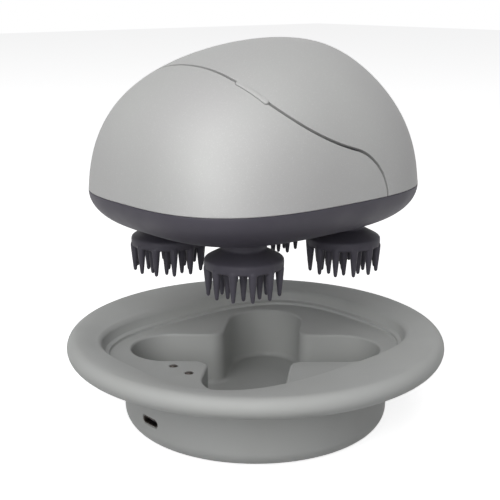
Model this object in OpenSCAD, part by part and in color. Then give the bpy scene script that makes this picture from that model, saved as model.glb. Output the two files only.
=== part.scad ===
// Cordless scalp massager with four turning heads, lifted above its charging dock.
// Z is up and the dock stands on z = 0, centred on the Z axis.
// X runs along the massager's length, with the charging port at the -X end.

/* [Massager body] */
// Length of the body at the split line
body_len = 112; // [110:0.5:114]
// Width of the body at the split line
body_w = 93.6; // [92:0.4:96]
// Height of the silver dome above the split line
dome_h = 50.8; // [47:0.4:56]
// Distance that the dome's peak lies ahead of the body's centre
peak_shift = 10.8; // [0:0.4:14]
// Squareness of the outline at the split line (2 is an ellipse)
outline_n = 3; // [2.6:0.1:3.4]
// Depth of the dark lower case below the split line
case_h = 13; // [12.6:0.2:15]
// Share of the outline that rounds away below the split line
case_round = 0.34; // [0.3:0.01:0.36]
// Wall thickness of the silver shells
shell_t = 2; // [1.6:0.1:2.4]
// Wall thickness of the lower case
case_t = 2; // [1.6:0.1:2.2]
// Clearance between pieces that fit into each other
fit_gap = 0.2; // [0.1:0.05:0.3]

/* [Seam and key] */
// Width of the dark groove between the two silver shells
seam_gap = 0.8; // [0.6:0.1:1.2]
// Half width of the frame behind the groove
frame_half = 4.5; // [3.5:0.5:6]
// Thickness of the frame behind the groove
frame_t = 1.6; // [1.2:0.1:2]
// Length of the power key
key_len = 13; // [11:0.5:14]
// Width of the power key
key_w = 1.8; // [1.4:0.1:2.2]
// Height of the key's crown above the shell
key_proud = 0.4; // [0.2:0.1:0.6]
// Travel of the power key
key_travel = 0.6; // [0.4:0.1:0.8]
// Place of the key along the upper seam curve, from its top end
key_place = 0.25; // [0.22:0.01:0.28]

/* [Massage heads] */
// Distance between heads along the length
head_pitch_x = 47; // [46.4:0.2:47.6]
// Distance between heads across the width
head_pitch_y = 42; // [41.6:0.2:42.4]
// Radius of a head's rim band
head_r = 13.3; // [12.8:0.1:13.4]
// Radius of a head's neck
neck_r = 7.6; // [7:0.1:8.2]
// Height of a head's neck
neck_h = 2.7; // [2.2:0.1:3.2]
// Height of a head's sloping shoulder
shoulder_h = 2.5; // [2:0.1:3]
// Height of a head's rim band
band_h = 3.3; // [3:0.1:3.6]
// Length of the outer fingers below the rim band
finger_len = 9.4; // [8:0.2:9.8]
// Radius of a finger at its root
finger_r = 1.5; // [1.2:0.05:1.6]
// Radius of a finger's rounded tip
finger_tip = 0.55; // [0.4:0.05:0.7]
// Number of fingers in the outer ring
outer_count = 12; // [10:1:12]
// Number of fingers in the inner ring
inner_count = 8; // [6:1:8]
// Radius of the outer ring of fingers
outer_ring_r = 12.2; // [11.6:0.1:12.3]
// Radius of the inner ring of fingers
inner_ring_r = 7.4; // [6.8:0.1:8]
// Extra length of the inner fingers
inner_extra = 0.6; // [0:0.1:1]
// Turn of the outer ring of fingers
ring_turn = 2.5; // [0:0.5:29.5]

/* [Drive] */
// Radius of a head spindle
spindle_r = 2; // [1.8:0.05:2.2]
// Running clearance of a turning shaft in its bearing
run_gap = 0.05; // [0.02:0.01:0.09]
// Teeth on each head gear
head_teeth = 32; // [30:1:34]
// Tooth module of the first gear stage
first_m = 0.5; // [0.48:0.01:0.52]
// Teeth on the motor pinion
motor_teeth = 12; // [12:1:14]
// Teeth on the first wheel
first_teeth = 48; // [44:1:50]
// Tooth module of the second gear stage
second_m = 0.6; // [0.58:0.01:0.62]
// Teeth on the second pinion
second_pinion_teeth = 12; // [12:1:13]
// Teeth on the centre wheel's upper rim
second_teeth = 60; // [56:1:62]
// Thickness of the head gears
head_gear_t = 5; // [4:0.2:5.2]
// Thickness of the upper rim of the centre wheel
second_gear_t = 2.6; // [2.2:0.1:2.8]
// Thickness of the first wheel
first_gear_t = 2; // [1.6:0.1:2.2]
// Tooth play along the pitch circle
tooth_play = 0.14; // [0.1:0.02:0.2]
// Radius of the motor can
motor_r = 12; // [11:0.2:12.4]
// Length of the motor can
motor_len = 30.8; // [26:0.2:32]
// Radius of the battery cell
cell_r = 9.2; // [8.8:0.1:9.3]
// Length of the battery cell
cell_len = 65; // [60:0.5:65.5]

/* [Dock] */
// Radius of the dock's rim
rim_r = 68.8; // [67:0.2:71]
// Radius of the rim's rounded edge
rim_edge_r = 3.7; // [3.2:0.1:4]
// Height of the middle of the rim's rounded edge
rim_z = 30.2; // [30:0.1:31]
// Height of the flat deck around the recess
deck_z = 26.5; // [26:0.1:27]
// Share of the body outline that the dock's oval opening takes
lip_share = 0.955; // [0.95:0.005:0.97]
// Clearance between the bowl's wall and the ends of the recess arms
bowl_gap = 0.5; // [0.4:0.05:2.5]
// Wall of the bowl
bowl_t = 1.4; // [1.2:0.05:1.45]
// Inward slope of the bowl down to its base
bowl_taper = 0.6; // [0:0.1:0.7]
// Radius of the bowl's rounded foot
bowl_foot_r = 6; // [5:0.2:7]
// Height of the rubber feet below the bowl
foot_h = 0.8; // [0.6:0.1:1.2]
// Floor thickness of the bowl
bowl_floor = 1.6; // [1.2:0.1:1.8]
// Wall of the tray around the recess
tray_t = 1.2; // [1:0.05:1.25]
// Clearance around a head in its recess lobe
lobe_gap = 0.7; // [0.6:0.05:0.75]
// Inward draft of the recess walls
recess_draft = 0.3; // [0.1:0.1:0.35]
// Depth of the recess below the deck
recess_h = 20; // [19.4:0.2:20.4]
// Rounding of the deck corners between the lobes
corner_r = 5; // [4:0.5:6]
// Gap between the seated case and the deck
seat_gap = 0.7; // [0.5:0.1:1]
// Clearance between the charge pins and the pads of the seated case
pin_gap = 0.3; // [0.2:0.05:0.4]

/* [Charging] */
// Distance of the charge contacts from the centre
contact_x = 34.5; // [33.5:0.1:34.8]
// Distance between the two charge contacts
contact_pitch = 8.9; // [7.6:0.1:10]
// Radius of a charge pin
pin_r = 1.4; // [1.2:0.05:1.5]
// Travel of a charge pin
pin_travel = 0.5; // [0.4:0.05:0.6]
// Height of the charging port's middle
port_z = 10.8; // [10:0.1:12]
// Width of the charging port's mouth
port_w = 8.4; // [8:0.1:9]
// Height of the charging port's mouth
port_h = 2.6; // [2.4:0.1:2.8]
// Height of the split line above the table while the massager is lifted
split_z = 88.1; // [86:0.1:92]

/* [Hidden] */

big = 90;
eps = 0.01;
silver = [0.84, 0.84, 0.83];
charcoal = [0.21, 0.2, 0.23];
rubbery = [0.22, 0.22, 0.25];
stone = [0.72, 0.72, 0.7];
steel = [0.66, 0.67, 0.69];
cream = [0.88, 0.86, 0.8];
brass = [0.8, 0.66, 0.36];
green = [0.12, 0.36, 0.22];

// Outlines, from the middle of a side round to the same place
half_len = body_len / 2;
half_w = body_w / 2;
outer_k = 64;
inner_k = 40;

function oval_r(a, b, n, t) = pow(pow(abs(cos(t)) / a, n) + pow(abs(sin(t)) / b, n), -1 / n);
function oval(a, b, n, k) = [for (i = [0 : k - 1])
  let (t = 360 * i / k, r = oval_r(a, b, n, t)) [r * cos(t), r * sin(t)]];

// Silver dome: its rings shrink towards the peak and drift forwards near the top
dome_p = 2.535;
dome_q = 2.048;
dome_drift = 6.1;
function dome_scale(h) = pow(max(0, 1 - pow(h, dome_p)), 1 / dome_q);
function dome_n(h) = outline_n - (outline_n - 2) * h;
function dome_x(h) = peak_shift * pow(h, dome_drift);
function dome_ring(h, inset, k) =
  let (s = dome_scale(h), pts = oval((half_len - inset) * s, (half_w - inset) * s, dome_n(h), k))
  [for (p = pts) [p[0] + dome_x(h), p[1], h * (dome_h - inset)]];

// Side of the dome at distance x along it and height z, and its outward normal there
function dome_y(x, z) =
  let (h = z / dome_h, s = dome_scale(h), n = dome_n(h))
  half_w * s * pow(1 - pow(abs(x - dome_x(h)) / (half_len * s), n), 1 / n);
function unit(v) = v / norm(v);
function dome_normal(x, z) =
  let (d = 0.01, dx = (dome_y(x + d, z) - dome_y(x - d, z)) / (2 * d),
    dz = (dome_y(x, z + d) - dome_y(x, z - d)) / (2 * d))
  unit([-dx, -1, -dz]);

// Solid through a stack of rings with equal point counts, closed by fans from each end's middle
function ring_mid(r) = [for (p = r) 1] * r / len(r);
module loft(rings) {
  k = len(rings[0]);
  m = len(rings);
  pts = concat([for (r = rings) for (p = r) p], [ring_mid(rings[0]), ring_mid(rings[m - 1])]);
  sides = [for (j = [0 : m - 2]) for (i = [0 : k - 1])
    let (a = j * k + i, b = j * k + (i + 1) % k, c = b + k, d = a + k)
    each [[a, d, b], [b, d, c]]];
  bottom = [for (i = [0 : k - 1]) [i, (i + 1) % k, m * k]];
  top = [for (i = [0 : k - 1]) [(m - 1) * k + (i + 1) % k, (m - 1) * k + i, m * k + 1]];
  polyhedron(points = pts, faces = concat(sides, bottom, top), convexity = 6);
}

module dome_solid(inset, k, m) {
  top_h = 0.99999;
  rings = [for (j = [0 : m]) dome_ring(top_h * sin(90 * j / m), inset, k)];
  loft(concat([[for (p = rings[0]) [p[0], p[1], -eps]]], [for (j = [1 : m]) rings[j]]));
}

// Lower case: a quarter-round turns the split line's outline into the flat base
function case_scale(d) = 1 - case_round * (1 - sqrt(max(0, 1 - pow(d / case_h, 2))));
function case_ring(d, inset, k) =
  let (s = case_scale(d))
  [for (p = oval(half_len * s - inset, half_w * s - inset, outline_n, k)) [p[0], p[1], -d]];

// Seam seen from the side: two curves that meet on the flank
seam_a = [[-29.3, dome_h * 0.886], [-29.3, dome_h * 0.65], [-15, dome_h * 0.441], [4, dome_h * 0.335]];
seam_b = [seam_a[3], [11, dome_h * 0.295], [18.2, dome_h * 0.146], [18.6, -1]];
function bezier(p, t) = let (u = 1 - t)
  u * u * u * p[0] + 3 * u * u * t * p[1] + 3 * u * t * t * p[2] + t * t * t * p[3];
function bezier_dir(p, t) = let (u = 1 - t)
  unit(u * u * (p[1] - p[0]) + 2 * u * t * (p[2] - p[1]) + t * t * (p[3] - p[2]));
function seam_point(p, t, off) = bezier(p, t) + off * [-bezier_dir(p, t)[1], bezier_dir(p, t)[0]];
seam_steps = 9;
function seam_line(off) = concat(
  [[seam_a[0][0] - off * bezier_dir(seam_a, 0)[1], dome_h + 5]],
  [for (i = [0 : seam_steps - 1]) seam_point(seam_a, i / seam_steps, off)],
  [for (i = [0 : seam_steps]) seam_point(seam_b, i / seam_steps, off)],
  [[seam_b[3][0] - off * bezier_dir(seam_b, 1)[1], -case_h]]);
module side_extrude() {
  rotate([90, 0, 0]) linear_extrude(height = 2 * big, center = true) children();
}
module hood_side() {
  side_extrude() polygon(concat(seam_line(seam_gap / 2), [[big, -case_h], [big, dome_h + 5]]));
}
module wrap_side() {
  side_extrude() polygon(concat(seam_line(-seam_gap / 2), [[-big, -case_h], [-big, dome_h + 5]]));
}
module seam_band(half) {
  back = seam_line(-half);
  side_extrude() polygon(concat(seam_line(half), [for (i = [len(back) - 1 : -1 : 0]) back[i]]));
}

// Power key's place: its middle, its long direction and the outward normal
key_mid = bezier(seam_a, key_place);
key_pos = [key_mid[0], -dome_y(key_mid[0], key_mid[1]), key_mid[1]];
key_n = dome_normal(key_mid[0], key_mid[1]);
key_a = bezier(seam_a, key_place - 0.04);
key_b = bezier(seam_a, key_place + 0.04);
key_chord = unit([key_b[0] - key_a[0], dome_y(key_a[0], key_a[1]) - dome_y(key_b[0], key_b[1]),
  key_b[1] - key_a[1]]);
key_t = unit(key_chord - key_n * (key_chord * key_n));
key_side = cross(key_n, key_t);
key_turn = [atan2(key_side[2], key_n[2]), -asin(key_t[2]), atan2(key_t[1], key_t[0])];
key_flange_z = -shell_t - 1.3;
key_flange_t = 0.8;
key_flange_l = key_len + 1.6;
key_flange_w = key_w + 2;
key_crown_r = 46;
switch_top = key_flange_z - key_flange_t - key_travel - 0.1;
switch_h = 3.4;
pod_wall = 1.6;
pod_l = key_flange_l + 2 * pod_wall;
pod_w = key_flange_w + 2 * pod_wall;
pod_bottom = switch_top - switch_h;
board_t = 1.2;

// Heads, one in each quarter
head_x = head_pitch_x / 2;
head_y = head_pitch_y / 2;
head_ring = norm([head_x, head_y]);
head_pos = [[head_x, head_y], [-head_x, head_y], [-head_x, -head_y], [head_x, -head_y]];
neck_gap = 0.4;
neck_top = -case_h - neck_gap;
shoulder_z = neck_top - neck_h;
band_top = shoulder_z - shoulder_h;
band_bottom = band_top - band_h;
core_floor = 1.1;
core_bottom = band_bottom + core_floor;
core_disc_t = 2;
core_disc_r = head_r - 1.9;
core_hub_r = neck_r - 2.3;

// Levels of the drive, from the case's floor up
floor_top = -case_h + case_t;
bearing_rise = 0.9;
bearing_flange_r = 4.5;
gear_z = floor_top + bearing_rise + 0.2;
gear_top = gear_z + head_gear_t;
second_z = gear_top + 0.8;
second_top = second_z + second_gear_t;
first_z = second_top + 0.9;
first_top = first_z + first_gear_t;
cover_z = first_top + 1.2;
cover_t = 2;
cover_top = cover_z + cover_t;
cover_inset = 5.5;
post_r = 3;
post_margin = 1.6;
post_x = half_len * case_scale(-floor_top) - case_t - post_r - post_margin;
post_y = half_w * case_scale(-floor_top) - case_t - post_r - post_margin;
post_pos = [[post_x, 0], [-post_x, 0], [0, post_y], [0, -post_y]];
axle_r = 1.5;
axle_z = -case_h + 0.8;
motor_shaft_r = 1;
motor_boss_r = 3;
motor_shaft_in = 3;
motor_collar_t = 1.2;
motor_collar_h = 5;
motor_cap_r = 4;
motor_cap_h = 1.6;
tab_x = 0.5;
tab_y = 2.4;
tab_h = 3;
tab_off = 8;
screw_r = 1.1;
screw_head_r = 2.4;
screw_head_h = 1.4;
cover_screw_len = 7;
dock_screw_len = 8;
pad_flange_r = pin_r + 1;
pad_flange_t = 0.5;
pad_r = pin_r + 2 * fit_gap;
seal_in = 0.5;
seal_w = 1;
seal_t = 0.8;
seal_play = 0.05;

// Gears: module from the distance that each pair has to span
head_m = 2 * head_ring / (2 * head_teeth);
gear_room_r = head_m * (head_teeth / 2 + 1) + 0.4;
first_dist = first_m * (motor_teeth + first_teeth) / 2;
second_dist = second_m * (second_pinion_teeth + second_teeth) / 2;
reduction_x = second_dist;
motor_x = second_dist - first_dist;
pressure = 20;
tip_share = 0.9;
root_share = 1.25;
flank_steps = 4;
centre_hub_r = 6;
centre_window_ring = 10.2;
centre_window_r = 2.4;
head_hub_r = 4;
head_hub_rise = 2;
head_window_ring = 9.2;
head_window_r = 2.8;
function involute(rb, r) = let (a = acos(min(1, rb / r))) tan(a) * 180 / PI - a;
function gear_points(m, z, thin) =
  let (rp = m * z / 2, rb = rp * cos(pressure), ra = rp + tip_share * m, rr = rp - root_share * m,
    half = 90 / z - (thin / 2) / rp * 180 / PI + involute(rb, rp),
    r0 = max(rb, rr),
    flank = [for (i = [0 : flank_steps])
      let (r = r0 + (ra - r0) * i / flank_steps) [r, half - involute(rb, r)]],
    foot = half - involute(rb, r0))
  [for (k = [0 : z - 1]) let (c = 360 * k / z) each concat(
    [[rr * cos(c - foot), rr * sin(c - foot)]],
    [for (f = flank) [f[0] * cos(c - f[1]), f[0] * sin(c - f[1])]],
    [for (i = [flank_steps : -1 : 0]) let (f = flank[i]) [f[0] * cos(c + f[1]), f[0] * sin(c + f[1])]],
    [[rr * cos(c + foot), rr * sin(c + foot)]])];
// Turn of a gear that meshes with another one that lies in direction dir - 180 from it
function mesh_turn(dir, turn, z1, z2) = dir + 180 - (0.5 - (dir - turn) * z1 / 360) * 360 / z2;
module gear(m, z, t, turn) {
  rotate([0, 0, turn]) linear_extrude(height = t) polygon(gear_points(m, z, tooth_play));
}
reduction_turn = mesh_turn(0, 0, second_teeth, second_pinion_teeth);
motor_turn = mesh_turn(180, reduction_turn, first_teeth, motor_teeth);

// Dock levels and the lobed recess
lip_z = rim_z + 2.3;
lip_round = 2.2;
rim_wall = 2;
deck_step = 1.2;
step_in = 2.2;
ledge_in = 0.9;
collar_margin = 0.8;
lobe_r = max(head_r, outer_ring_r + finger_r) + lobe_gap;
recess_floor = deck_z - recess_h;
bowl_r = head_ring + lobe_r + tray_t + bowl_gap + bowl_t;
seated_split = deck_z + seat_gap + case_h;
bowl_z = foot_h;
rim_under = rim_z - rim_edge_r;
arm_angle = atan2(head_y, head_x);
pin_top = deck_z + seat_gap - pin_gap;
pin_pos = [[-contact_x, contact_pitch / 2], [-contact_x, -contact_pitch / 2]];
deck_t = 2;
deck_under = deck_z - deck_t;
bowl_top = deck_under;
pin_foot = deck_under - 8;
wall_r = bowl_r - bowl_t;
collar_r = max([for (p = lip_outline(-step_in, outer_k)) norm(p)]) + collar_margin;

// Outline of the recess: a round end on each arm, and a rounded deck corner between two arms
function arc(c, r, a0, a1, k) = [for (i = [0 : k])
  let (a = a0 + (a1 - a0) * i / k) [c[0] + r * cos(a), c[1] + r * sin(a)]];
end_steps = 10;
corner_steps = 4;
function lobe_end(i, grow, skew, k) =
  let (a = i == 0 ? arm_angle : i == 1 ? 180 - arm_angle : i == 2 ? 180 + arm_angle : 360 - arm_angle)
  arc(head_pos[i], lobe_r + grow, a - 90 + skew, a + 90 - skew, k);
function lobe_corner(dir, spread, grow, skew, k) =
  let (d = (lobe_r + corner_r) / sin(spread), c = [d * cos(dir), d * sin(dir)])
  arc(c, corner_r - grow, dir + 270 - spread - skew, dir + 90 + spread + skew, k);
function recess_outline(grow, skew = 0, ends = end_steps, corners = corner_steps) = concat(
  lobe_end(0, grow, skew, ends), lobe_corner(90, 90 - arm_angle, grow, skew, corners),
  lobe_end(1, grow, skew, ends), lobe_corner(180, arm_angle, grow, skew, corners),
  lobe_end(2, grow, skew, ends), lobe_corner(270, 90 - arm_angle, grow, skew, corners),
  lobe_end(3, grow, skew, ends), lobe_corner(360, arm_angle, grow, skew, corners));
function at_height(pts, z) = [for (p = pts) [p[0], p[1], z]];
function lip_outline(grow, k) = oval(half_len * lip_share + grow, half_w * lip_share + grow, outline_n, k);

module lifted() {
  translate([0, 0, split_z]) children();
}
module at_key() {
  translate(key_pos) rotate(key_turn) children();
}
module slot(l, w, z0, z1) {
  for (s = [-1, 1]) translate([s * (l - w) / 2, 0, z0]) cylinder(r = w / 2, h = z1 - z0, $fn = 32);
  translate([-(l - w) / 2, -w / 2, z0]) cube([l - w, w, z1 - z0]);
}

// ---- Massager ----
module dome_shell() {
  difference() {
    dome_solid(0, outer_k, 14);
    translate([0, 0, -1]) linear_extrude(height = 1) square(3 * big, center = true);
    translate([0, 0, -eps]) dome_solid(shell_t, inner_k, 9);
    at_key() slot(key_len + 2 * fit_gap, key_w + 2 * fit_gap, -3 * shell_t, 2 * shell_t);
  }
}
module hood_panel() {
  color(silver) lifted() intersection() {
    dome_shell();
    hood_side();
  }
}
module wrap_panel() {
  color(silver) lifted() intersection() {
    dome_shell();
    wrap_side();
  }
}
module seam_frame() {
  color(charcoal) lifted() difference() {
    intersection() {
      dome_solid(shell_t + fit_gap, inner_k, 9);
      translate([0, 0, 4]) linear_extrude(height = 2 * big) square(3 * big, center = true);
      union() {
        difference() {
          seam_band(frame_half);
          dome_solid(shell_t + fit_gap + frame_t, inner_k, 9);
        }
        at_key() translate([-pod_l / 2, -pod_w / 2, pod_bottom]) cube([pod_l, pod_w, -pod_bottom]);
      }
    }
    at_key() {
      translate([-key_flange_l / 2 - fit_gap, -key_flange_w / 2 - fit_gap, pod_bottom - 1])
        cube([key_flange_l + 2 * fit_gap, key_flange_w + 2 * fit_gap, 20]);
    }
  }
}
module power_key() {
  color(silver) lifted() at_key() {
    intersection() {
      slot(key_len, key_w, key_flange_z - eps, 2);
      translate([0, 0, key_proud - key_crown_r]) sphere(r = key_crown_r, $fn = 128);
    }
    translate([-key_flange_l / 2, -key_flange_w / 2, key_flange_z - key_flange_t])
      cube([key_flange_l, key_flange_w, key_flange_t]);
  }
}
module key_switch() {
  body_l = 6;
  body_w2 = 3.4;
  color(steel) lifted() at_key() {
    translate([-body_l / 2, -body_w2 / 2, pod_bottom]) cube([body_l, body_w2, switch_h - 1]);
    translate([0, 0, pod_bottom]) cylinder(r = 1.1, h = switch_h, $fn = 32);
  }
}
module key_board() {
  color(green) lifted() at_key() translate([-pod_l / 2, -pod_w / 2, pod_bottom - board_t])
    cube([pod_l, pod_w, board_t]);
}

module lower_case() {
  lap_in = shell_t + 2.5 * fit_gap;
  lap_t = 1.4;
  lap_up = 3;
  lap_down = 1.2;
  rings = [for (j = [0 : 8]) case_ring(case_h * sin(90 - 90 * j / 8), 0, outer_k)];
  cavity = [for (j = [0 : 5]) case_ring((case_h - case_t) * sin(90 - 90 * j / 5), case_t, inner_k)];
  color(charcoal) lifted() difference() {
    union() {
      difference() {
        loft(rings);
        loft(concat(cavity, [at_height(oval(half_len - case_t, half_w - case_t, outline_n, inner_k), 1)]));
      }
      translate([0, 0, -lap_down]) linear_extrude(height = lap_up + lap_down) difference() {
        polygon(oval(half_len - lap_in, half_w - lap_in, outline_n, inner_k));
        polygon(oval(half_len - lap_in - lap_t, half_w - lap_in - lap_t, outline_n, inner_k));
      }
      translate([0, 0, -lap_down]) linear_extrude(height = lap_down - fit_gap) difference() {
        polygon(oval(half_len - case_t + 0.4, half_w - case_t + 0.4, outline_n, outer_k));
        polygon(oval(half_len - lap_in - lap_t, half_w - lap_in - lap_t, outline_n, inner_k));
      }
      for (p = post_pos) translate([p[0], p[1], floor_top - eps])
        cylinder(r = post_r, h = cover_z - floor_top + eps, $fn = 48);
      for (p = head_pos) translate([p[0], p[1], -case_h - 0.1])
        cylinder(r = neck_r + 1.2, h = case_t, $fn = 64);
      translate([0, 0, floor_top - eps]) cylinder(r = 4, h = bearing_rise, $fn = 48);
      translate([reduction_x, 0, floor_top - eps]) cylinder(r = 3, h = gear_top - floor_top, $fn = 48);
    }
    for (p = head_pos) {
      translate([p[0], p[1], gear_z - 0.3]) cylinder(r = gear_room_r, h = head_gear_t + 0.6, $fn = 96);
      translate([p[0], p[1], -case_h - 1]) cylinder(r = bearing_flange_r - 1.2, h = case_h, $fn = 48);
      translate([p[0], p[1], -case_h - 1]) cylinder(r = neck_r - 1.6, h = 1 + 0.8, $fn = 48);
    }
    translate([0, 0, -seal_t]) linear_extrude(height = 2 * seal_t) seal_ring(0);
    for (p = post_pos) translate([p[0], p[1], floor_top + 2]) cylinder(r = screw_r, h = 40, $fn = 24);
    for (x = [0, reduction_x]) translate([x, 0, axle_z]) cylinder(r = axle_r, h = 40, $fn = 32);
    for (p = pin_pos) translate([p[0], p[1], -case_h - 1]) {
      cylinder(r = pad_r, h = case_t + 2, $fn = 32);
      translate([0, 0, 1 + case_t + eps])
        cylinder(r = pad_flange_r + fit_gap, h = pad_flange_t + fit_gap, $fn = 48);
    }
  }
}
module seal_ring(play) {
  difference() {
    polygon(oval(half_len - seal_in - play, half_w - seal_in - play, outline_n, outer_k));
    polygon(oval(half_len - seal_in - seal_w + play, half_w - seal_in - seal_w + play, outline_n, outer_k));
  }
}
module case_seal() {
  color(rubbery) lifted() translate([0, 0, -seal_t]) linear_extrude(height = seal_t) seal_ring(seal_play);
}
module bearings() {
  color(brass) lifted() for (p = head_pos) translate([p[0], p[1], 0]) rotate_extrude($fn = 48)
    polygon([[spindle_r + run_gap, -case_h + 0.8], [bearing_flange_r - 1.2, -case_h + 0.8],
      [bearing_flange_r - 1.2, floor_top], [bearing_flange_r, floor_top],
      [bearing_flange_r, floor_top + bearing_rise], [spindle_r + run_gap, floor_top + bearing_rise]]);
}
module spindle_seals() {
  color(rubbery) lifted() for (p = head_pos) translate([p[0], p[1], -case_h - 0.1]) difference() {
    cylinder(r = neck_r - 1.6, h = 0.9, $fn = 48);
    translate([0, 0, -1]) cylinder(r = spindle_r + 2 * run_gap, h = 3, $fn = 32);
  }
}
module charge_pads() {
  color(brass) lifted() for (p = pin_pos) translate([p[0], p[1], -case_h]) {
    cylinder(r = pad_r, h = case_t, $fn = 32);
    translate([0, 0, case_t]) cylinder(r = pad_flange_r, h = pad_flange_t, $fn = 32);
  }
}
module cover_plate() {
  collar_in = motor_r + fit_gap;
  color(cream) lifted() difference() {
    union() {
      translate([0, 0, cover_z]) linear_extrude(height = cover_t)
        polygon(oval(half_len - cover_inset, half_w - cover_inset, outline_n, outer_k));
      translate([motor_x, 0, cover_top - eps]) difference() {
        cylinder(r = collar_in + motor_collar_t, h = motor_collar_h, $fn = 96);
        translate([0, 0, -1]) cylinder(r = collar_in, h = motor_collar_h + 2, $fn = 96);
      }
    }
    for (p = head_pos) translate([p[0], p[1], cover_z - 1])
      cylinder(r = spindle_r + run_gap, h = cover_t + 2, $fn = 48);
    translate([motor_x, 0, cover_z - 1]) cylinder(r = motor_boss_r, h = cover_t + 2, $fn = 48);
    for (p = post_pos) translate([p[0], p[1], cover_z - 1])
      cylinder(r = screw_r + 2 * fit_gap, h = cover_t + 2, $fn = 32);
    for (x = [0, reduction_x]) translate([x, 0, cover_z - 1]) cylinder(r = axle_r, h = 2, $fn = 32);
  }
}
module screw(l) {
  translate([0, 0, -l]) cylinder(r = screw_r, h = l + eps, $fn = 24);
  difference() {
    cylinder(r = screw_head_r, h = screw_head_h, $fn = 32);
    translate([0, 0, screw_head_h / 2]) cylinder(r = screw_head_r * 0.45, h = screw_head_h, $fn = 6);
  }
}
module cover_screws() {
  color(steel) lifted() for (p = post_pos) translate([p[0], p[1], cover_top]) screw(cover_screw_len);
}
module gear_axles() {
  color(steel) lifted() for (x = [0, reduction_x]) translate([x, 0, axle_z])
    cylinder(r = axle_r, h = cover_z + 1 - axle_z, $fn = 32);
}
module motor() {
  color(steel) lifted() translate([motor_x, 0, cover_top]) {
    difference() {
      union() {
        cylinder(r = motor_r, h = motor_len, $fn = 96);
        translate([0, 0, -cover_t]) cylinder(r = motor_boss_r, h = cover_t + eps, $fn = 48);
      }
      translate([0, 0, -cover_t - 1])
        cylinder(r = motor_shaft_r + run_gap, h = cover_t + 1 + motor_shaft_in, $fn = 48);
    }
    translate([0, 0, motor_len - eps]) cylinder(r = motor_cap_r, h = motor_cap_h, $fn = 48);
    for (s = [-1, 1]) translate([-tab_x / 2, s * tab_off - tab_y / 2, motor_len - eps])
      cube([tab_x, tab_y, tab_h]);
  }
}
module motor_pinion() {
  color(brass) lifted() translate([motor_x, 0, first_z - 0.2]) {
    gear(first_m, motor_teeth, first_gear_t + 0.8, motor_turn);
    cylinder(r = motor_shaft_r, h = cover_top + motor_shaft_in - 0.2 - first_z, $fn = 48);
  }
}
module reduction_gear() {
  color(cream) lifted() translate([reduction_x, 0, 0]) difference() {
    union() {
      translate([0, 0, first_z]) gear(first_m, first_teeth, first_gear_t, reduction_turn);
      translate([0, 0, second_z])
        gear(second_m, second_pinion_teeth, first_z - second_z + eps, reduction_turn);
    }
    translate([0, 0, second_z - 1]) cylinder(r = axle_r + run_gap, h = 12, $fn = 48);
  }
}
module centre_gear() {
  color(cream) lifted() difference() {
    union() {
      translate([0, 0, gear_z]) gear(head_m, head_teeth, head_gear_t, 0);
      translate([0, 0, second_z]) gear(second_m, second_teeth, second_gear_t, 0);
      translate([0, 0, gear_z]) cylinder(r = centre_hub_r, h = second_top - gear_z, $fn = 64);
    }
    translate([0, 0, gear_z - 1]) cylinder(r = axle_r + run_gap, h = 14, $fn = 48);
    for (a = [0 : 60 : 300]) rotate([0, 0, a]) translate([centre_window_ring, 0, gear_z - 1])
      cylinder(r = centre_window_r, h = 14, $fn = 32);
  }
}
module battery_cell() {
  color([0.16, 0.42, 0.5]) lifted() translate([0, battery_y, battery_z]) rotate([0, 90, 0]) {
    translate([0, 0, -cell_len / 2]) cylinder(r = cell_r, h = cell_len - 1, $fn = 96);
    translate([0, 0, cell_len / 2 - 1 - eps]) cylinder(r = 3, h = 1 + eps, $fn = 48);
  }
}
cell_rise = 1.2;
battery_z = cover_top + cell_rise + cell_r;
battery_y = 26.6;
saddle_x = 20;
saddle_t = 6;
saddle_h = 7;
saddle_wall = 0.8;
module battery_cradle() {
  saddle_w = 2 * (cell_r + saddle_wall);
  color(charcoal) lifted() for (s = [-1, 1])
    translate([s * saddle_x - saddle_t / 2, battery_y - saddle_w / 2, cover_top]) difference() {
      cube([saddle_t, saddle_w, saddle_h]);
      translate([-1, saddle_w / 2, battery_z - cover_top]) rotate([0, 90, 0])
        cylinder(r = cell_r + fit_gap / 2, h = saddle_t + 2, $fn = 96);
    }
}
main_len = 48;
main_w = 18;
main_t = 1.6;
main_x = -20;
main_y = -38;
standoff_h = 2;
standoff_r = 1.6;
standoff_in = 3;
chip = [7, 7, 1];
coil = [5, 4, 1.4];
plug = [6, 9, 4.5];
can_r = 2.2;
can_h = 5;
module main_board() {
  top = standoff_h + main_t - eps;
  color(green) lifted() translate([main_x, main_y, cover_top]) {
    translate([0, 0, standoff_h]) cube([main_len, main_w, main_t]);
    for (x = [standoff_in, main_len - standoff_in], y = [standoff_in, main_w - standoff_in])
      translate([x, y, 0]) cylinder(r = standoff_r, h = standoff_h + eps, $fn = 24);
    translate([main_len * 5 / 12, main_w / 3, top]) cube(chip);
    translate([main_len / 10, main_w * 2 / 9, top]) cube(coil);
    translate([main_len * 17 / 24, main_w * 5 / 18, top]) cube(plug);
    translate([main_len * 7 / 24, main_w * 2 / 3, top]) cylinder(r = can_r, h = can_h, $fn = 48);
  }
}

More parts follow.
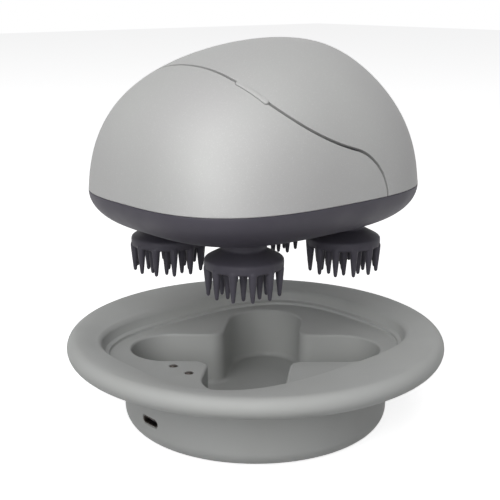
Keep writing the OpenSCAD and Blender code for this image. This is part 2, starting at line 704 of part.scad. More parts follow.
// ---- Turning heads ----
module head_place(i) {
  lifted() translate([head_pos[i][0], head_pos[i][1], 0]) children();
}
spindle_bottom = core_bottom + 0.6;
module spindle(i) {
  color(steel) head_place(i) {
    translate([0, 0, spindle_bottom]) cylinder(r = spindle_r, h = cover_top - spindle_bottom, $fn = 48);
  }
}
module head_gear(i) {
  dir = [arm_angle, 180 - arm_angle, 180 + arm_angle, 360 - arm_angle][i];
  color(cream) head_place(i) difference() {
    union() {
      translate([0, 0, gear_z])
        gear(head_m, head_teeth, head_gear_t, mesh_turn(dir, 0, head_teeth, head_teeth));
      translate([0, 0, gear_z]) cylinder(r = head_hub_r, h = head_gear_t + head_hub_rise, $fn = 48);
    }
    translate([0, 0, gear_z - 1]) cylinder(r = spindle_r, h = 12, $fn = 48);
    for (a = [0 : 60 : 300]) rotate([0, 0, a]) translate([head_window_ring, 0, gear_z - 1])
      cylinder(r = head_window_r, h = 12, $fn = 32);
  }
}
module core_shape(grow) {
  translate([0, 0, core_bottom]) cylinder(r = core_disc_r, h = core_disc_t, $fn = 64);
  translate([0, 0, core_bottom]) cylinder(r = core_hub_r, h = neck_top - core_bottom + grow, $fn = 48);
}
module head_core(i) {
  color(charcoal) head_place(i) difference() {
    core_shape(0);
    translate([0, 0, spindle_bottom]) cylinder(r = spindle_r, h = 20, $fn = 48);
  }
}
module finger(r0, z0, length) {
  taper = length - finger_tip;
  translate([0, 0, z0 - taper]) cylinder(r1 = finger_tip, r2 = r0, h = taper, $fn = 24);
  translate([0, 0, z0 - taper]) sphere(r = finger_tip, $fn = 24);
}
module head_pad(i) {
  rib_top = band_top - 0.6;
  color(rubbery) head_place(i) difference() {
    union() {
      rotate_extrude($fn = 96) polygon([[0, neck_top], [neck_r - 0.5, neck_top], [neck_r, neck_top - 0.4],
        [neck_r - 0.3, shoulder_z + 0.6], [neck_r + 0.6, shoulder_z], [head_r - 1.2, band_top + 0.5],
        [head_r - 0.3, band_top], [head_r, band_top - 0.6], [head_r, band_bottom + 0.3],
        [head_r - 0.3, band_bottom], [0, band_bottom]]);
      for (k = [0 : outer_count - 1]) rotate([0, 0, ring_turn + 360 * k / outer_count])
        translate([outer_ring_r, 0, 0]) {
          finger(finger_r, band_bottom, finger_len);
          translate([0, 0, band_bottom - eps]) cylinder(r = finger_r, h = rib_top - band_bottom, $fn = 24);
        }
      for (k = [0 : inner_count - 1]) rotate([0, 0, ring_turn + 360 * k / inner_count])
        translate([inner_ring_r, 0, 0]) finger(finger_r, band_bottom + eps, finger_len + inner_extra);
      finger(finger_r, band_bottom + eps, finger_len + inner_extra);
    }
    core_shape(1);
  }
}

// ---- Dock ----
module recess_cup() {
  foot_round = 1.6;
  cup_top = deck_z - 1.2;
  loft(concat(
    [at_height(recess_outline(-recess_draft), recess_floor - tray_t)],
    [at_height(recess_outline(tray_t - recess_draft), recess_floor)],
    [at_height(recess_outline(tray_t), cup_top)],
    [at_height(recess_outline(0), cup_top)],
    [for (j = [3 : -1 : 0]) let (a = 90 * j / 3)
      at_height(recess_outline(-recess_draft - foot_round * (1 - sin(a))),
        recess_floor + foot_round * (1 - cos(a)))]));
}
module dock_tray() {
  mouth_flare = 0.4;
  mouth_skew = 3;
  screw_pilot = 1.1;
  well_rings = concat(
    [at_height(lip_outline(-step_in, outer_k), deck_z)],
    [at_height(lip_outline(-step_in, outer_k), deck_z + deck_step)],
    [at_height(lip_outline(-ledge_in, outer_k), deck_z + deck_step + 0.4)],
    [at_height(lip_outline(0, outer_k), lip_z - lip_round)],
    [for (j = [1 : 4]) let (a = 90 * j / 4)
      at_height(lip_outline(lip_round * (1 - cos(a)), outer_k), lip_z - lip_round * (1 - sin(a)))],
    [at_height(lip_outline(lip_round + 4, outer_k), lip_z + 2.2)]);
  color(stone) {
    recess_cup();
    difference() {
      rotate([0, 0, 9]) rotate_extrude($fn = 160) polygon(concat(
        [[0, deck_under], [collar_r, deck_under], [collar_r + 0.4, rim_under]],
        [[rim_r - rim_edge_r, rim_under]],
        [for (a = [-75 : 15 : 90])
          [rim_r - rim_edge_r + rim_edge_r * cos(a), rim_z + rim_edge_r * sin(a)]],
        [[half_len * lip_share, lip_z + 0.6], [half_w * lip_share, lip_z + 0.1], [0, lip_z]]));
      loft(well_rings);
      translate([0, 0, deck_under - 1]) linear_extrude(height = deck_t + 2)
        polygon(recess_outline(mouth_flare, mouth_skew, end_steps - 1, corner_steps + 1));
      translate([0, 0, rim_under - 1]) linear_extrude(height = lip_z - rim_under + 1 - rim_wall)
      difference() {
        circle(r = rim_r - rim_edge_r - rim_wall / 2, $fn = 160);
        polygon(lip_outline(lip_round + rim_wall / 2, outer_k));
        circle(r = collar_r + rim_wall / 2, $fn = 128);
      }
      for (p = pin_pos) translate([p[0], p[1], deck_under - 1])
        cylinder(r = pin_r + fit_gap, h = 8, $fn = 48);
    }
    for (p = tray_boss) translate([p[0], p[1], bowl_z + bowl_floor + 1]) difference() {
      cylinder(r = boss_r, h = deck_under - bowl_z - bowl_floor, $fn = 48);
      translate([0, 0, -1]) cylinder(r = screw_pilot, h = 12, $fn = 24);
    }
  }
}
corner_x = (lobe_r + corner_r) / sin(arm_angle) - corner_r;
corner_y = (lobe_r + corner_r) / cos(arm_angle) - corner_r;
boss_r = 2.6;
screw_sink = 1.5;
foot_sink = 0.5;
boss_ring = [corner_x + 10, corner_y + 6, corner_x + tray_t + boss_r + 0.4, corner_y + 6];
tray_boss = [[boss_ring[0], 0], [0, boss_ring[1]], [-boss_ring[2], 0], [0, -boss_ring[3]]];

function bowl_profile(r_top, r_low, foot, z0, z1) = concat(
  [[0, z0]],
  [for (a = [-90 : 15 : 0]) [r_low - foot + foot * cos(a), z0 + foot + foot * sin(a)]],
  [[r_top, z1]]);
module dock_bowl() {
  low_r = bowl_r - bowl_taper;
  color(stone) difference() {
    union() {
      difference() {
        rotate_extrude($fn = 160) polygon(concat(
          bowl_profile(bowl_r, low_r, bowl_foot_r, bowl_z, bowl_top), [[0, bowl_top]]));
        rotate_extrude($fn = 160) polygon(concat(
          bowl_profile(wall_r, low_r - bowl_t, bowl_foot_r - bowl_t, bowl_z + bowl_floor, bowl_top),
          [[wall_r, bowl_top + 1], [0, bowl_top + 1]]));
      }
      for (p = tray_boss) translate([p[0], p[1], bowl_z + eps])
        cylinder(r = boss_r + 0.8, h = bowl_floor + 1 - eps, $fn = 48);
      for (y = [-board_hy + 2, board_hy - 2]) translate([-board_x1 - 3, y, bowl_z + eps])
        cylinder(r = standoff_r, h = board_z - bowl_z - eps, $fn = 32);
    }
    for (p = tray_boss) {
      translate([p[0], p[1], -1]) cylinder(r = screw_r + 0.3, h = 12, $fn = 24);
      translate([p[0], p[1], -1]) cylinder(r = screw_head_r + 0.3, h = bowl_z + 1 + screw_sink, $fn = 32);
    }
    port_slot(-bowl_r - 2, -wall_r + 2, 0.2);
    for (p = foot_pos) translate([p[0], p[1], -1])
      cylinder(r = foot_r, h = bowl_z + 1 + foot_sink, $fn = 64);
  }
}
foot_r = 4.5;
foot_ring = 32;
foot_pos = [for (a = [45 : 90 : 315]) [foot_ring * cos(a), foot_ring * sin(a)]];
module dock_feet() {
  color(rubbery) for (p = foot_pos) translate([p[0], p[1], 0])
    cylinder(r = foot_r, h = bowl_z + foot_sink, $fn = 64);
}
module dock_screws() {
  color(steel) for (p = tray_boss) translate([p[0], p[1], bowl_z + screw_sink])
    rotate([180, 0, 0]) screw(dock_screw_len);
}
board_x0 = wall_r - 3.6;
board_x1 = 31.2;
board_hy = 7;
board_z = port_z - port_h / 2 - board_t;
module dock_board() {
  color(green) difference() {
    translate([-board_x0, -board_hy, board_z]) cube([board_x0 - board_x1, 2 * board_hy, board_t]);
    for (p = pin_pos) translate([p[0], p[1], board_z - 1]) cylinder(r = 0.6, h = 4, $fn = 24);
  }
}
module port_slot(x0, x1, grow) {
  h = port_h + 2 * grow;
  w = port_w + 2 * grow;
  translate([x0, 0, port_z]) rotate([0, 90, 0]) {
    for (s = [-1, 1]) translate([0, s * (w - h) / 2, 0]) cylinder(r = h / 2, h = x1 - x0, $fn = 48);
    translate([-h / 2, -(w - h) / 2, 0]) cube([h, w - h, x1 - x0]);
  }
}
module port_socket() {
  depth = 6.5;
  wall = 0.35;
  x_out = -wall_r - 0.6;
  color(steel) difference() {
    port_slot(x_out, x_out + depth + 1, 0);
    port_slot(x_out - 1, x_out + depth, -wall);
  }
  color(charcoal) translate([x_out + 1.4, -2.4, port_z - 0.3]) cube([depth - 1.4 + 0.5, 4.8, 0.6]);
}
module pin_sleeves() {
  foot = board_z + board_t;
  color(brass) for (p = pin_pos) translate([p[0], p[1], foot]) {
    cylinder(r = pin_r + 0.5, h = 2, $fn = 32);
    difference() {
      cylinder(r = pin_r + 0.4, h = deck_under - fit_gap - foot, $fn = 32);
      translate([0, 0, pin_foot - pin_travel - 0.5 - foot]) cylinder(r = pin_r + run_gap, h = 30, $fn = 48);
    }
  }
}
module charge_pin(i) {
  color(brass) translate([pin_pos[i][0], pin_pos[i][1], 0]) {
    translate([0, 0, pin_foot]) cylinder(r = pin_r, h = pin_top - 0.4 - pin_foot, $fn = 48);
    translate([0, 0, pin_top - 0.4 - eps]) cylinder(r1 = pin_r, r2 = pin_r - 0.4, h = 0.4, $fn = 48);
  }
}

hood_panel();
wrap_panel();
seam_frame();
power_key();
key_switch();
key_board();
lower_case();
case_seal();
bearings();
spindle_seals();
charge_pads();
cover_plate();
cover_screws();
gear_axles();
motor();
motor_pinion();
reduction_gear();
centre_gear();
battery_cell();
battery_cradle();
main_board();
spindle(0);  // spindle_1
spindle(1);  // spindle_2
spindle(2);  // spindle_3
spindle(3);  // spindle_4
head_gear(0);  // head_gear_1
head_gear(1);  // head_gear_2
head_gear(2);  // head_gear_3
head_gear(3);  // head_gear_4
head_core(0);  // head_core_1
head_core(1);  // head_core_2
head_core(2);  // head_core_3
head_core(3);  // head_core_4
head_pad(0);  // head_pad_1
head_pad(1);  // head_pad_2
head_pad(2);  // head_pad_3
head_pad(3);  // head_pad_4
dock_tray();
dock_bowl();
dock_feet();
dock_screws();
dock_board();
port_socket();
pin_sleeves();
charge_pin(0);  // charge_pin_1
charge_pin(1);  // charge_pin_2
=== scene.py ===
"""Cordless scalp massager with four turning heads, lifted above its charging dock.

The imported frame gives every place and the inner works. This script models the visible skins
ring by ring, and gives each piece the finish of the real one. Sizes are in millimetres.
"""
import logging
import math
from dataclasses import dataclass, field
from enum import Enum
from typing import Callable, Sequence

import bmesh
import bpy
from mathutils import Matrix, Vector


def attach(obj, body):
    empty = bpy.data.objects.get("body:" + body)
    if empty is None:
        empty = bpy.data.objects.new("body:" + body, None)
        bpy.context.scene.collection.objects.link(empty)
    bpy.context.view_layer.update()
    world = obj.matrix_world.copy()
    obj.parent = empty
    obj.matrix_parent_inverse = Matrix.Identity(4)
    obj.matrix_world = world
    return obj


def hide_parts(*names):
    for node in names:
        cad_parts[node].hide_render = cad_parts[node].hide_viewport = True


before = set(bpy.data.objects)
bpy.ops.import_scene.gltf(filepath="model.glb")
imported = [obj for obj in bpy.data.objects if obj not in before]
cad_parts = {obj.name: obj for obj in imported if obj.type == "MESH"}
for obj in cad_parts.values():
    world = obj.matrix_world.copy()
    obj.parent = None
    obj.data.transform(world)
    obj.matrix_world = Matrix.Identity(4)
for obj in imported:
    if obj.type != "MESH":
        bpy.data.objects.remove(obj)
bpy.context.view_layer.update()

MM = 0.001
TURN = 2 * math.pi
log = logging.getLogger("massager")

Point = tuple[float, float, float]
Profile = Sequence[tuple[float, float]]
Places = Sequence[tuple[float, float]]
RingPlace = Callable[[float], Point]
Outline = Callable[[float, float], float]


# ---------------------------------------------------------------- shapes of the outlines

def oval(half_x: float, half_y: float, power: float) -> Outline:
    """Squared-off ellipse as a radius at each angle.

    Args:
        half_x: Half length along X.
        half_y: Half width along Y.
        power: 2 gives an ellipse, more gives fuller corners.

    Returns:
        A function of the angle and of the growth outwards.
    """
    def radius(angle: float, grow: float) -> float:
        x = abs(math.cos(angle)) / (half_x + grow)
        y = abs(math.sin(angle)) / (half_y + grow)
        return (x ** power + y ** power) ** (-1 / power)
    return radius


def circle(size: float) -> Outline:
    """Circle of the given radius as an outline."""
    return lambda angle, grow: size + grow


def between(inner: Outline, inner_grow: float, outer: Outline, share: float) -> Outline:
    """Outline that lies part of the way from one outline to another.

    Args:
        inner: Outline at share 0.
        inner_grow: Growth of the inner outline.
        outer: Outline at share 1.
        share: Part of the way.

    Returns:
        The blended outline.
    """
    def radius(angle: float, grow: float) -> float:
        return (1 - share) * inner(angle, inner_grow) + share * outer(angle, 0) + grow
    return radius


def widest(first: Outline, second: Outline) -> Outline:
    """Outline that follows the further one of two outlines."""
    return lambda angle, grow: max(first(angle, grow), second(angle, grow))


def level(shape: Outline, grow: float, height: float) -> RingPlace:
    """Ring at one height.

    Args:
        shape: Outline of the ring.
        grow: Growth of the outline.
        height: Height of the ring.

    Returns:
        A function of the angle that gives the point.
    """
    def place(angle: float) -> Point:
        r = shape(angle, grow)
        return (r * math.cos(angle), r * math.sin(angle), height)
    return place


def fillet(shape: Outline, grow: float, height: float, size: float,
           start: float, end: float, steps: int = 5) -> list[RingPlace]:
    """Rings of a rounding round an outline.

    Args:
        shape: Outline that is rounded.
        grow: Growth at the middle of the rounding's circle.
        height: Height of the middle of the rounding's circle.
        size: Radius of the rounding.
        start: First angle of the rounding in degrees, 0 outwards and 90 up.
        end: Last angle in degrees.
        steps: Number of steps.

    Returns:
        The rings in order.
    """
    rings = []
    for step in range(steps + 1):
        turn = math.radians(start + (end - start) * step / steps)
        rings.append(level(shape, grow + size * math.cos(turn), height + size * math.sin(turn)))
    return rings


def pill_point(share: float, length: float, width: float) -> tuple[float, float]:
    """Point on a pill outline.

    Args:
        share: Part of the way round, from 0 to 1.
        length: Whole length of the pill.
        width: Whole width of the pill.

    Returns:
        The point's two coordinates.
    """
    quarter, along = divmod(share * 4, 1)
    half = max(0.0, (length - width) / 2)
    r = width / 2
    if quarter % 4 == 0:
        turn = math.pi * (along - 0.5)
        return half + r * math.cos(turn), r * math.sin(turn)
    if quarter % 4 == 1:
        return half * (1 - 2 * along), r
    if quarter % 4 == 2:
        turn = math.pi * (along + 0.5)
        return -half + r * math.cos(turn), r * math.sin(turn)
    return half * (2 * along - 1), -r


# ---------------------------------------------------------------- modelling by operators

def deselect() -> None:
    """Leave nothing selected in object mode."""
    bpy.ops.object.select_all(action="DESELECT")


def make_active(piece: bpy.types.Object) -> None:
    """Select only this piece and make it the active one."""
    deselect()
    piece.select_set(True)
    bpy.context.view_layer.objects.active = piece


class RingForm:
    """Closed form that grows from a circle of edges, extruded ring after ring."""

    weld_mm = 0.002

    def __init__(self, name: str, count: int) -> None:
        """Add the first circle.

        Args:
            name: Name of the piece.
            count: Points on each ring.
        """
        self.count = count
        deselect()
        bpy.ops.mesh.primitive_circle_add(vertices=count, radius=1, fill_type="NOTHING")
        self.piece = bpy.context.active_object
        self.piece.name = name
        self.piece.data.name = name
        bpy.ops.object.mode_set(mode="EDIT")
        bpy.ops.mesh.select_mode(type="VERT")
        bpy.ops.mesh.select_all(action="SELECT")
        mesh = bmesh.from_edit_mesh(self.piece.data)
        mesh.verts.layers.int.new("spot")
        mesh.verts.layers.int.new("row")
        mesh.verts.ensure_lookup_table()
        spot = mesh.verts.layers.int["spot"]
        for vert in mesh.verts:
            vert[spot] = vert.index
        bmesh.update_edit_mesh(self.piece.data)

    def _place(self, ring: RingPlace, row: int) -> None:
        """Put the selected ring in its place.

        Args:
            ring: Point at each angle.
            row: Number that marks the ring.
        """
        mesh = bmesh.from_edit_mesh(self.piece.data)
        spot = mesh.verts.layers.int["spot"]
        mark = mesh.verts.layers.int["row"]
        for vert in mesh.verts:
            if vert.select:
                vert[mark] = row
                vert.co = Vector(ring(TURN * vert[spot] / self.count)) * MM
        bmesh.update_edit_mesh(self.piece.data)

    def _pole(self, point: Point) -> None:
        """Close the selected ring to one point."""
        bpy.ops.mesh.extrude_region()
        self._place(lambda angle: point, -1)
        bpy.ops.mesh.merge(type="CENTER")

    def _select_row(self, row: int) -> None:
        """Select one ring of the form."""
        bpy.ops.mesh.select_all(action="DESELECT")
        mesh = bmesh.from_edit_mesh(self.piece.data)
        mark = mesh.verts.layers.int["row"]
        for vert in mesh.verts:
            vert.select = vert[mark] == row
        mesh.select_flush_mode()
        bmesh.update_edit_mesh(self.piece.data)

    def build(self, rings: Sequence[RingPlace], start: Point | None = None, end: Point | None = None,
              smooth: float = 32.0, loop: bool = False) -> bpy.types.Object:
        """Extrude all rings and close the form.

        Args:
            rings: Rings in order.
            start: Point that closes the first ring.
            end: Point that closes the last ring.
            smooth: Largest angle in degrees that is shaded smooth.
            loop: Whether the last ring joins the first one.

        Returns:
            The finished piece.
        """
        self._place(rings[0], 0)
        if start is not None:
            self._pole(start)
            self._select_row(0)
        for row, ring in enumerate(rings[1:], start=1):
            bpy.ops.mesh.extrude_region()
            self._place(ring, row)
        if end is not None:
            self._pole(end)
        if loop:
            bpy.ops.mesh.extrude_region()
            self._place(rings[0], len(rings))
        bpy.ops.mesh.select_all(action="SELECT")
        bpy.ops.mesh.remove_doubles(threshold=self.weld_mm * MM)
        bpy.ops.mesh.normals_make_consistent(inside=False)
        bpy.ops.mesh.select_all(action="DESELECT")
        bpy.ops.object.mode_set(mode="OBJECT")
        self.piece.data.attributes.remove(self.piece.data.attributes["spot"])
        self.piece.data.attributes.remove(self.piece.data.attributes["row"])
        smooth_by_angle(self.piece, smooth)
        return self.piece


def smooth_by_angle(piece: bpy.types.Object, degrees: float) -> None:
    """Shade a piece smooth except at edges sharper than an angle."""
    make_active(piece)
    bpy.ops.object.shade_smooth_by_angle(angle=math.radians(degrees))


def finish_with(piece: bpy.types.Object, kind: str, **settings: object) -> None:
    """Add one modifier to a piece and apply it.

    Args:
        piece: The piece.
        kind: Blender's name of the modifier type.
        settings: The modifier's settings.
    """
    modifier = piece.modifiers.new(kind.lower(), kind)
    for name, value in settings.items():
        setattr(modifier, name, value)
    make_active(piece)
    bpy.ops.object.modifier_apply(modifier=modifier.name)


def cut_away(piece: bpy.types.Object, cutter: bpy.types.Object) -> None:
    """Cut one piece with another and remove the cutter.

    Args:
        piece: The piece that is cut.
        cutter: The closed form that is taken away.
    """
    finish_with(piece, "BOOLEAN", operation="DIFFERENCE", object=cutter, solver="EXACT")
    bpy.data.objects.remove(cutter)


def join(pieces: Sequence[bpy.types.Object], name: str) -> bpy.types.Object:
    """Join pieces into one object.

    Args:
        pieces: The pieces, of which the first one stays.
        name: Name of the joined piece.

    Returns:
        The joined piece.
    """
    deselect()
    for piece in pieces:
        piece.select_set(True)
    bpy.context.view_layer.objects.active = pieces[0]
    if len(pieces) > 1:
        bpy.ops.object.join()
    pieces[0].name = name
    pieces[0].data.name = name
    return pieces[0]


def copy_of(piece: bpy.types.Object, name: str, shift: Point) -> bpy.types.Object:
    """Copy a piece with its own mesh and move it.

    Args:
        piece: The piece to copy.
        name: Name of the copy.
        shift: Way that it is moved.

    Returns:
        The copy, with its place in its mesh.
    """
    make_active(piece)
    bpy.ops.object.duplicate(linked=False)
    made = bpy.context.active_object
    made.name = name
    made.data.name = name
    made.location = [value * MM for value in shift]
    bpy.ops.object.transform_apply(location=True, rotation=True, scale=True)
    return made


def copies(form: bpy.types.Object, name: str, places: Sequence[Point]) -> list[bpy.types.Object]:
    """Copy a form to several places and remove the form itself.

    Args:
        form: The form.
        name: Name of the copies, before their numbers.
        places: Way that each copy is moved.

    Returns:
        The copies in order.
    """
    made = [copy_of(form, f"{name}_{index}", place) for index, place in enumerate(places)]
    bpy.data.objects.remove(form)
    return made


def turned_rings(profile: Profile) -> list[RingPlace]:
    """Rings of a turned form.

    Args:
        profile: Radius and height of each ring.

    Returns:
        The rings in order.
    """
    return [level(circle(r), 0, z) for r, z in profile]


def turned_form(name: str, count: int, profile: Profile) -> bpy.types.Object:
    """Model a closed turned form about the Z axis.

    Args:
        name: Name of the form.
        count: Points on each ring.
        profile: Radius and height of each ring; the form closes at the first and the last height.

    Returns:
        The form.
    """
    return RingForm(name, count).build(
        turned_rings(profile), start=(0, 0, profile[0][1]), end=(0, 0, profile[-1][1]))


def shifted(profile: Profile, r: float, height: float) -> list[tuple[float, float]]:
    """Profile moved outwards by a radius and upwards by a height."""
    return [(r + out, height + rise) for out, rise in profile]


def sink(piece: bpy.types.Object, name: str, count: int, profile: Profile, places: Sequence[Point]) -> None:
    """Cut the same turned hole into a piece at several places.

    Args:
        piece: The piece that is cut.
        name: Name of the cutter.
        count: Points on each ring of the hole.
        profile: Radius and height of each ring of the hole.
        places: Place of each hole's axis and of its height 0.
    """
    for cutter in copies(turned_form(name, count, profile), name + "_set", places):
        cut_away(piece, cutter)


def block(name: str, middle: Point, size: Point, edge: float, steps: int) -> bpy.types.Object:
    """Model a box with rounded edges.

    Args:
        name: Name of the box.
        middle: Middle of the box.
        size: Length along each axis.
        edge: Width of the rounding.
        steps: Steps of the rounding.

    Returns:
        The box.
    """
    deselect()
    bpy.ops.mesh.primitive_cube_add(size=1, location=[value * MM for value in middle])
    made = bpy.context.active_object
    made.name = made.data.name = name
    made.scale = [value * MM for value in size]
    bpy.ops.object.transform_apply(location=True, rotation=True, scale=True)
    finish_with(made, "BEVEL", width=edge * MM, segments=steps, limit_method="ANGLE")
    return made


def rounded(profile: Profile, size: float, steps: int = 4) -> list[tuple[float, float]]:
    """Round the inner corners of an open profile.

    Args:
        profile: Corner points.
        size: Largest rounding radius.
        steps: Steps of each rounding.

    Returns:
        The profile with its corners rounded.
    """
    reach_share = 0.45
    made = [profile[0]]
    for before, corner, after in zip(profile, profile[1:], profile[2:]):
        a, b = Vector(before) - Vector(corner), Vector(after) - Vector(corner)
        reach = min(size, reach_share * a.length, reach_share * b.length)
        start, end = Vector(corner) + a.normalized() * reach, Vector(corner) + b.normalized() * reach
        for step in range(steps + 1):
            t = step / steps
            spot = start * (1 - t) ** 2 + Vector(corner) * 2 * t * (1 - t) + end * t ** 2
            made.append((spot.x, spot.y))
    return made + [profile[-1]]


# ---------------------------------------------------------------- finishes

def linear(code: str) -> tuple[float, float, float, float]:
    """Linear colour of an sRGB hex value."""
    parts = [int(code[i:i + 2], 16) / 255 for i in (1, 3, 5)]
    return (*[p / 12.92 if p <= 0.04045 else ((p + 0.055) / 1.055) ** 2.4 for p in parts], 1.0)


def add_node(tree: bpy.types.NodeTree, kind: str, values: dict[int | str, object] | None = None,
             links: dict[int | str, bpy.types.NodeSocket] | None = None,
             **settings: object) -> bpy.types.Node:
    """Add one shader node.

    Args:
        tree: The material's node tree.
        kind: Blender's name of the node type.
        values: Values of its inputs.
        links: Sockets that feed its inputs.
        settings: The node's own settings.

    Returns:
        The node.
    """
    node = tree.nodes.new(kind)
    for name, value in settings.items():
        setattr(node, name, value)
    for name, value in (values or {}).items():
        node.inputs[name].default_value = value
    for name, source in (links or {}).items():
        tree.links.new(source, node.inputs[name])
    return node


@dataclass(frozen=True)
class Finish:
    """Look of one real material and of how its surface was made.

    The grain is a fine relief, the drift a slow change of tone, and the patches change the gloss.
    """

    name: str
    colour: str
    drift_colour: str
    roughness: float
    metallic: float = 0.0
    ior: float = 1.5
    grain_mm: float = 0.4
    grain_depth_mm: float = 0.01
    drift_mm: float = 30.0
    gloss_patch_mm: float = 8.0
    gloss_change: float = 0.06
    peel_mm: float = 0.0
    peel_depth_mm: float = 0.0
    flake_mm: float = 0.0
    flake_colour: str = "#FFFFFF"
    flake_share: float = 0.0
    flake_start: float = 0.72
    stretch: Point = (1.0, 1.0, 1.0)
    coat: float = 0.0
    coat_roughness: float = 0.2
    sheen: float = 0.0
    sheen_roughness: float = 0.5

    def material(self) -> bpy.types.Material:
        """Blender material of the finish, made once.

        Returns:
            The material.
        """
        found = bpy.data.materials.get(self.name)
        if found is not None:
            return found
        made = bpy.data.materials.new(self.name)
        made.use_nodes = True
        tree = made.node_tree
        tree.nodes.clear()
        where = add_node(tree, "ShaderNodeTexCoord").outputs["Object"]
        spread = add_node(tree, "ShaderNodeMapping", {"Scale": self.stretch}, {"Vector": where})
        spread = spread.outputs["Vector"]
        drift = add_node(tree, "ShaderNodeTexNoise", {"Scale": 1000 / self.drift_mm, "Detail": 3.0},
                         {"Vector": where})
        tone = add_node(tree, "ShaderNodeMix", {6: linear(self.colour), 7: linear(self.drift_colour)},
                        {0: drift.outputs["Fac"]}, data_type="RGBA").outputs[2]
        if self.flake_share > 0:
            flakes = add_node(tree, "ShaderNodeTexVoronoi", {"Scale": 1000 / self.flake_mm},
                              {"Vector": where}, feature="F1")
            bright = add_node(tree, "ShaderNodeMapRange",
                              {"From Min": self.flake_start, "From Max": 1.0, "To Min": 0.0,
                               "To Max": self.flake_share}, {"Value": flakes.outputs["Color"]})
            tone = add_node(tree, "ShaderNodeMix", {7: linear(self.flake_colour)},
                            {0: bright.outputs["Result"], 6: tone}, data_type="RGBA").outputs[2]
        patches = add_node(tree, "ShaderNodeTexNoise", {"Scale": 1000 / self.gloss_patch_mm, "Detail": 4.0},
                           {"Vector": spread})
        gloss = add_node(tree, "ShaderNodeMapRange",
                         {"From Min": 0.3, "From Max": 0.7, "To Min": self.roughness - self.gloss_change,
                          "To Max": self.roughness + self.gloss_change}, {"Value": patches.outputs["Fac"]})
        grain = add_node(tree, "ShaderNodeTexNoise", {"Scale": 1000 / self.grain_mm, "Detail": 3.0},
                         {"Vector": spread})
        relief = add_node(tree, "ShaderNodeBump", {"Strength": 1.0, "Distance": self.grain_depth_mm * MM},
                          {"Height": grain.outputs["Fac"]})
        if self.peel_depth_mm > 0:
            peel = add_node(tree, "ShaderNodeTexNoise", {"Scale": 1000 / self.peel_mm, "Detail": 1.0},
                            {"Vector": where})
            relief = add_node(tree, "ShaderNodeBump", {"Strength": 1.0, "Distance": self.peel_depth_mm * MM},
                              {"Height": peel.outputs["Fac"], "Normal": relief.outputs["Normal"]})
        values = {"Metallic": self.metallic, "Coat Weight": self.coat, "Coat Roughness": self.coat_roughness,
                  "Sheen Weight": self.sheen, "Sheen Roughness": self.sheen_roughness}
        if self.metallic < 1:
            values["IOR"] = self.ior
        shader = add_node(tree, "ShaderNodeBsdfPrincipled", values,
                          {"Base Color": tone, "Roughness": gloss.outputs["Result"],
                           "Normal": relief.outputs["Normal"]})
        add_node(tree, "ShaderNodeOutputMaterial", links={"Surface": shader.outputs["BSDF"]})
        return made


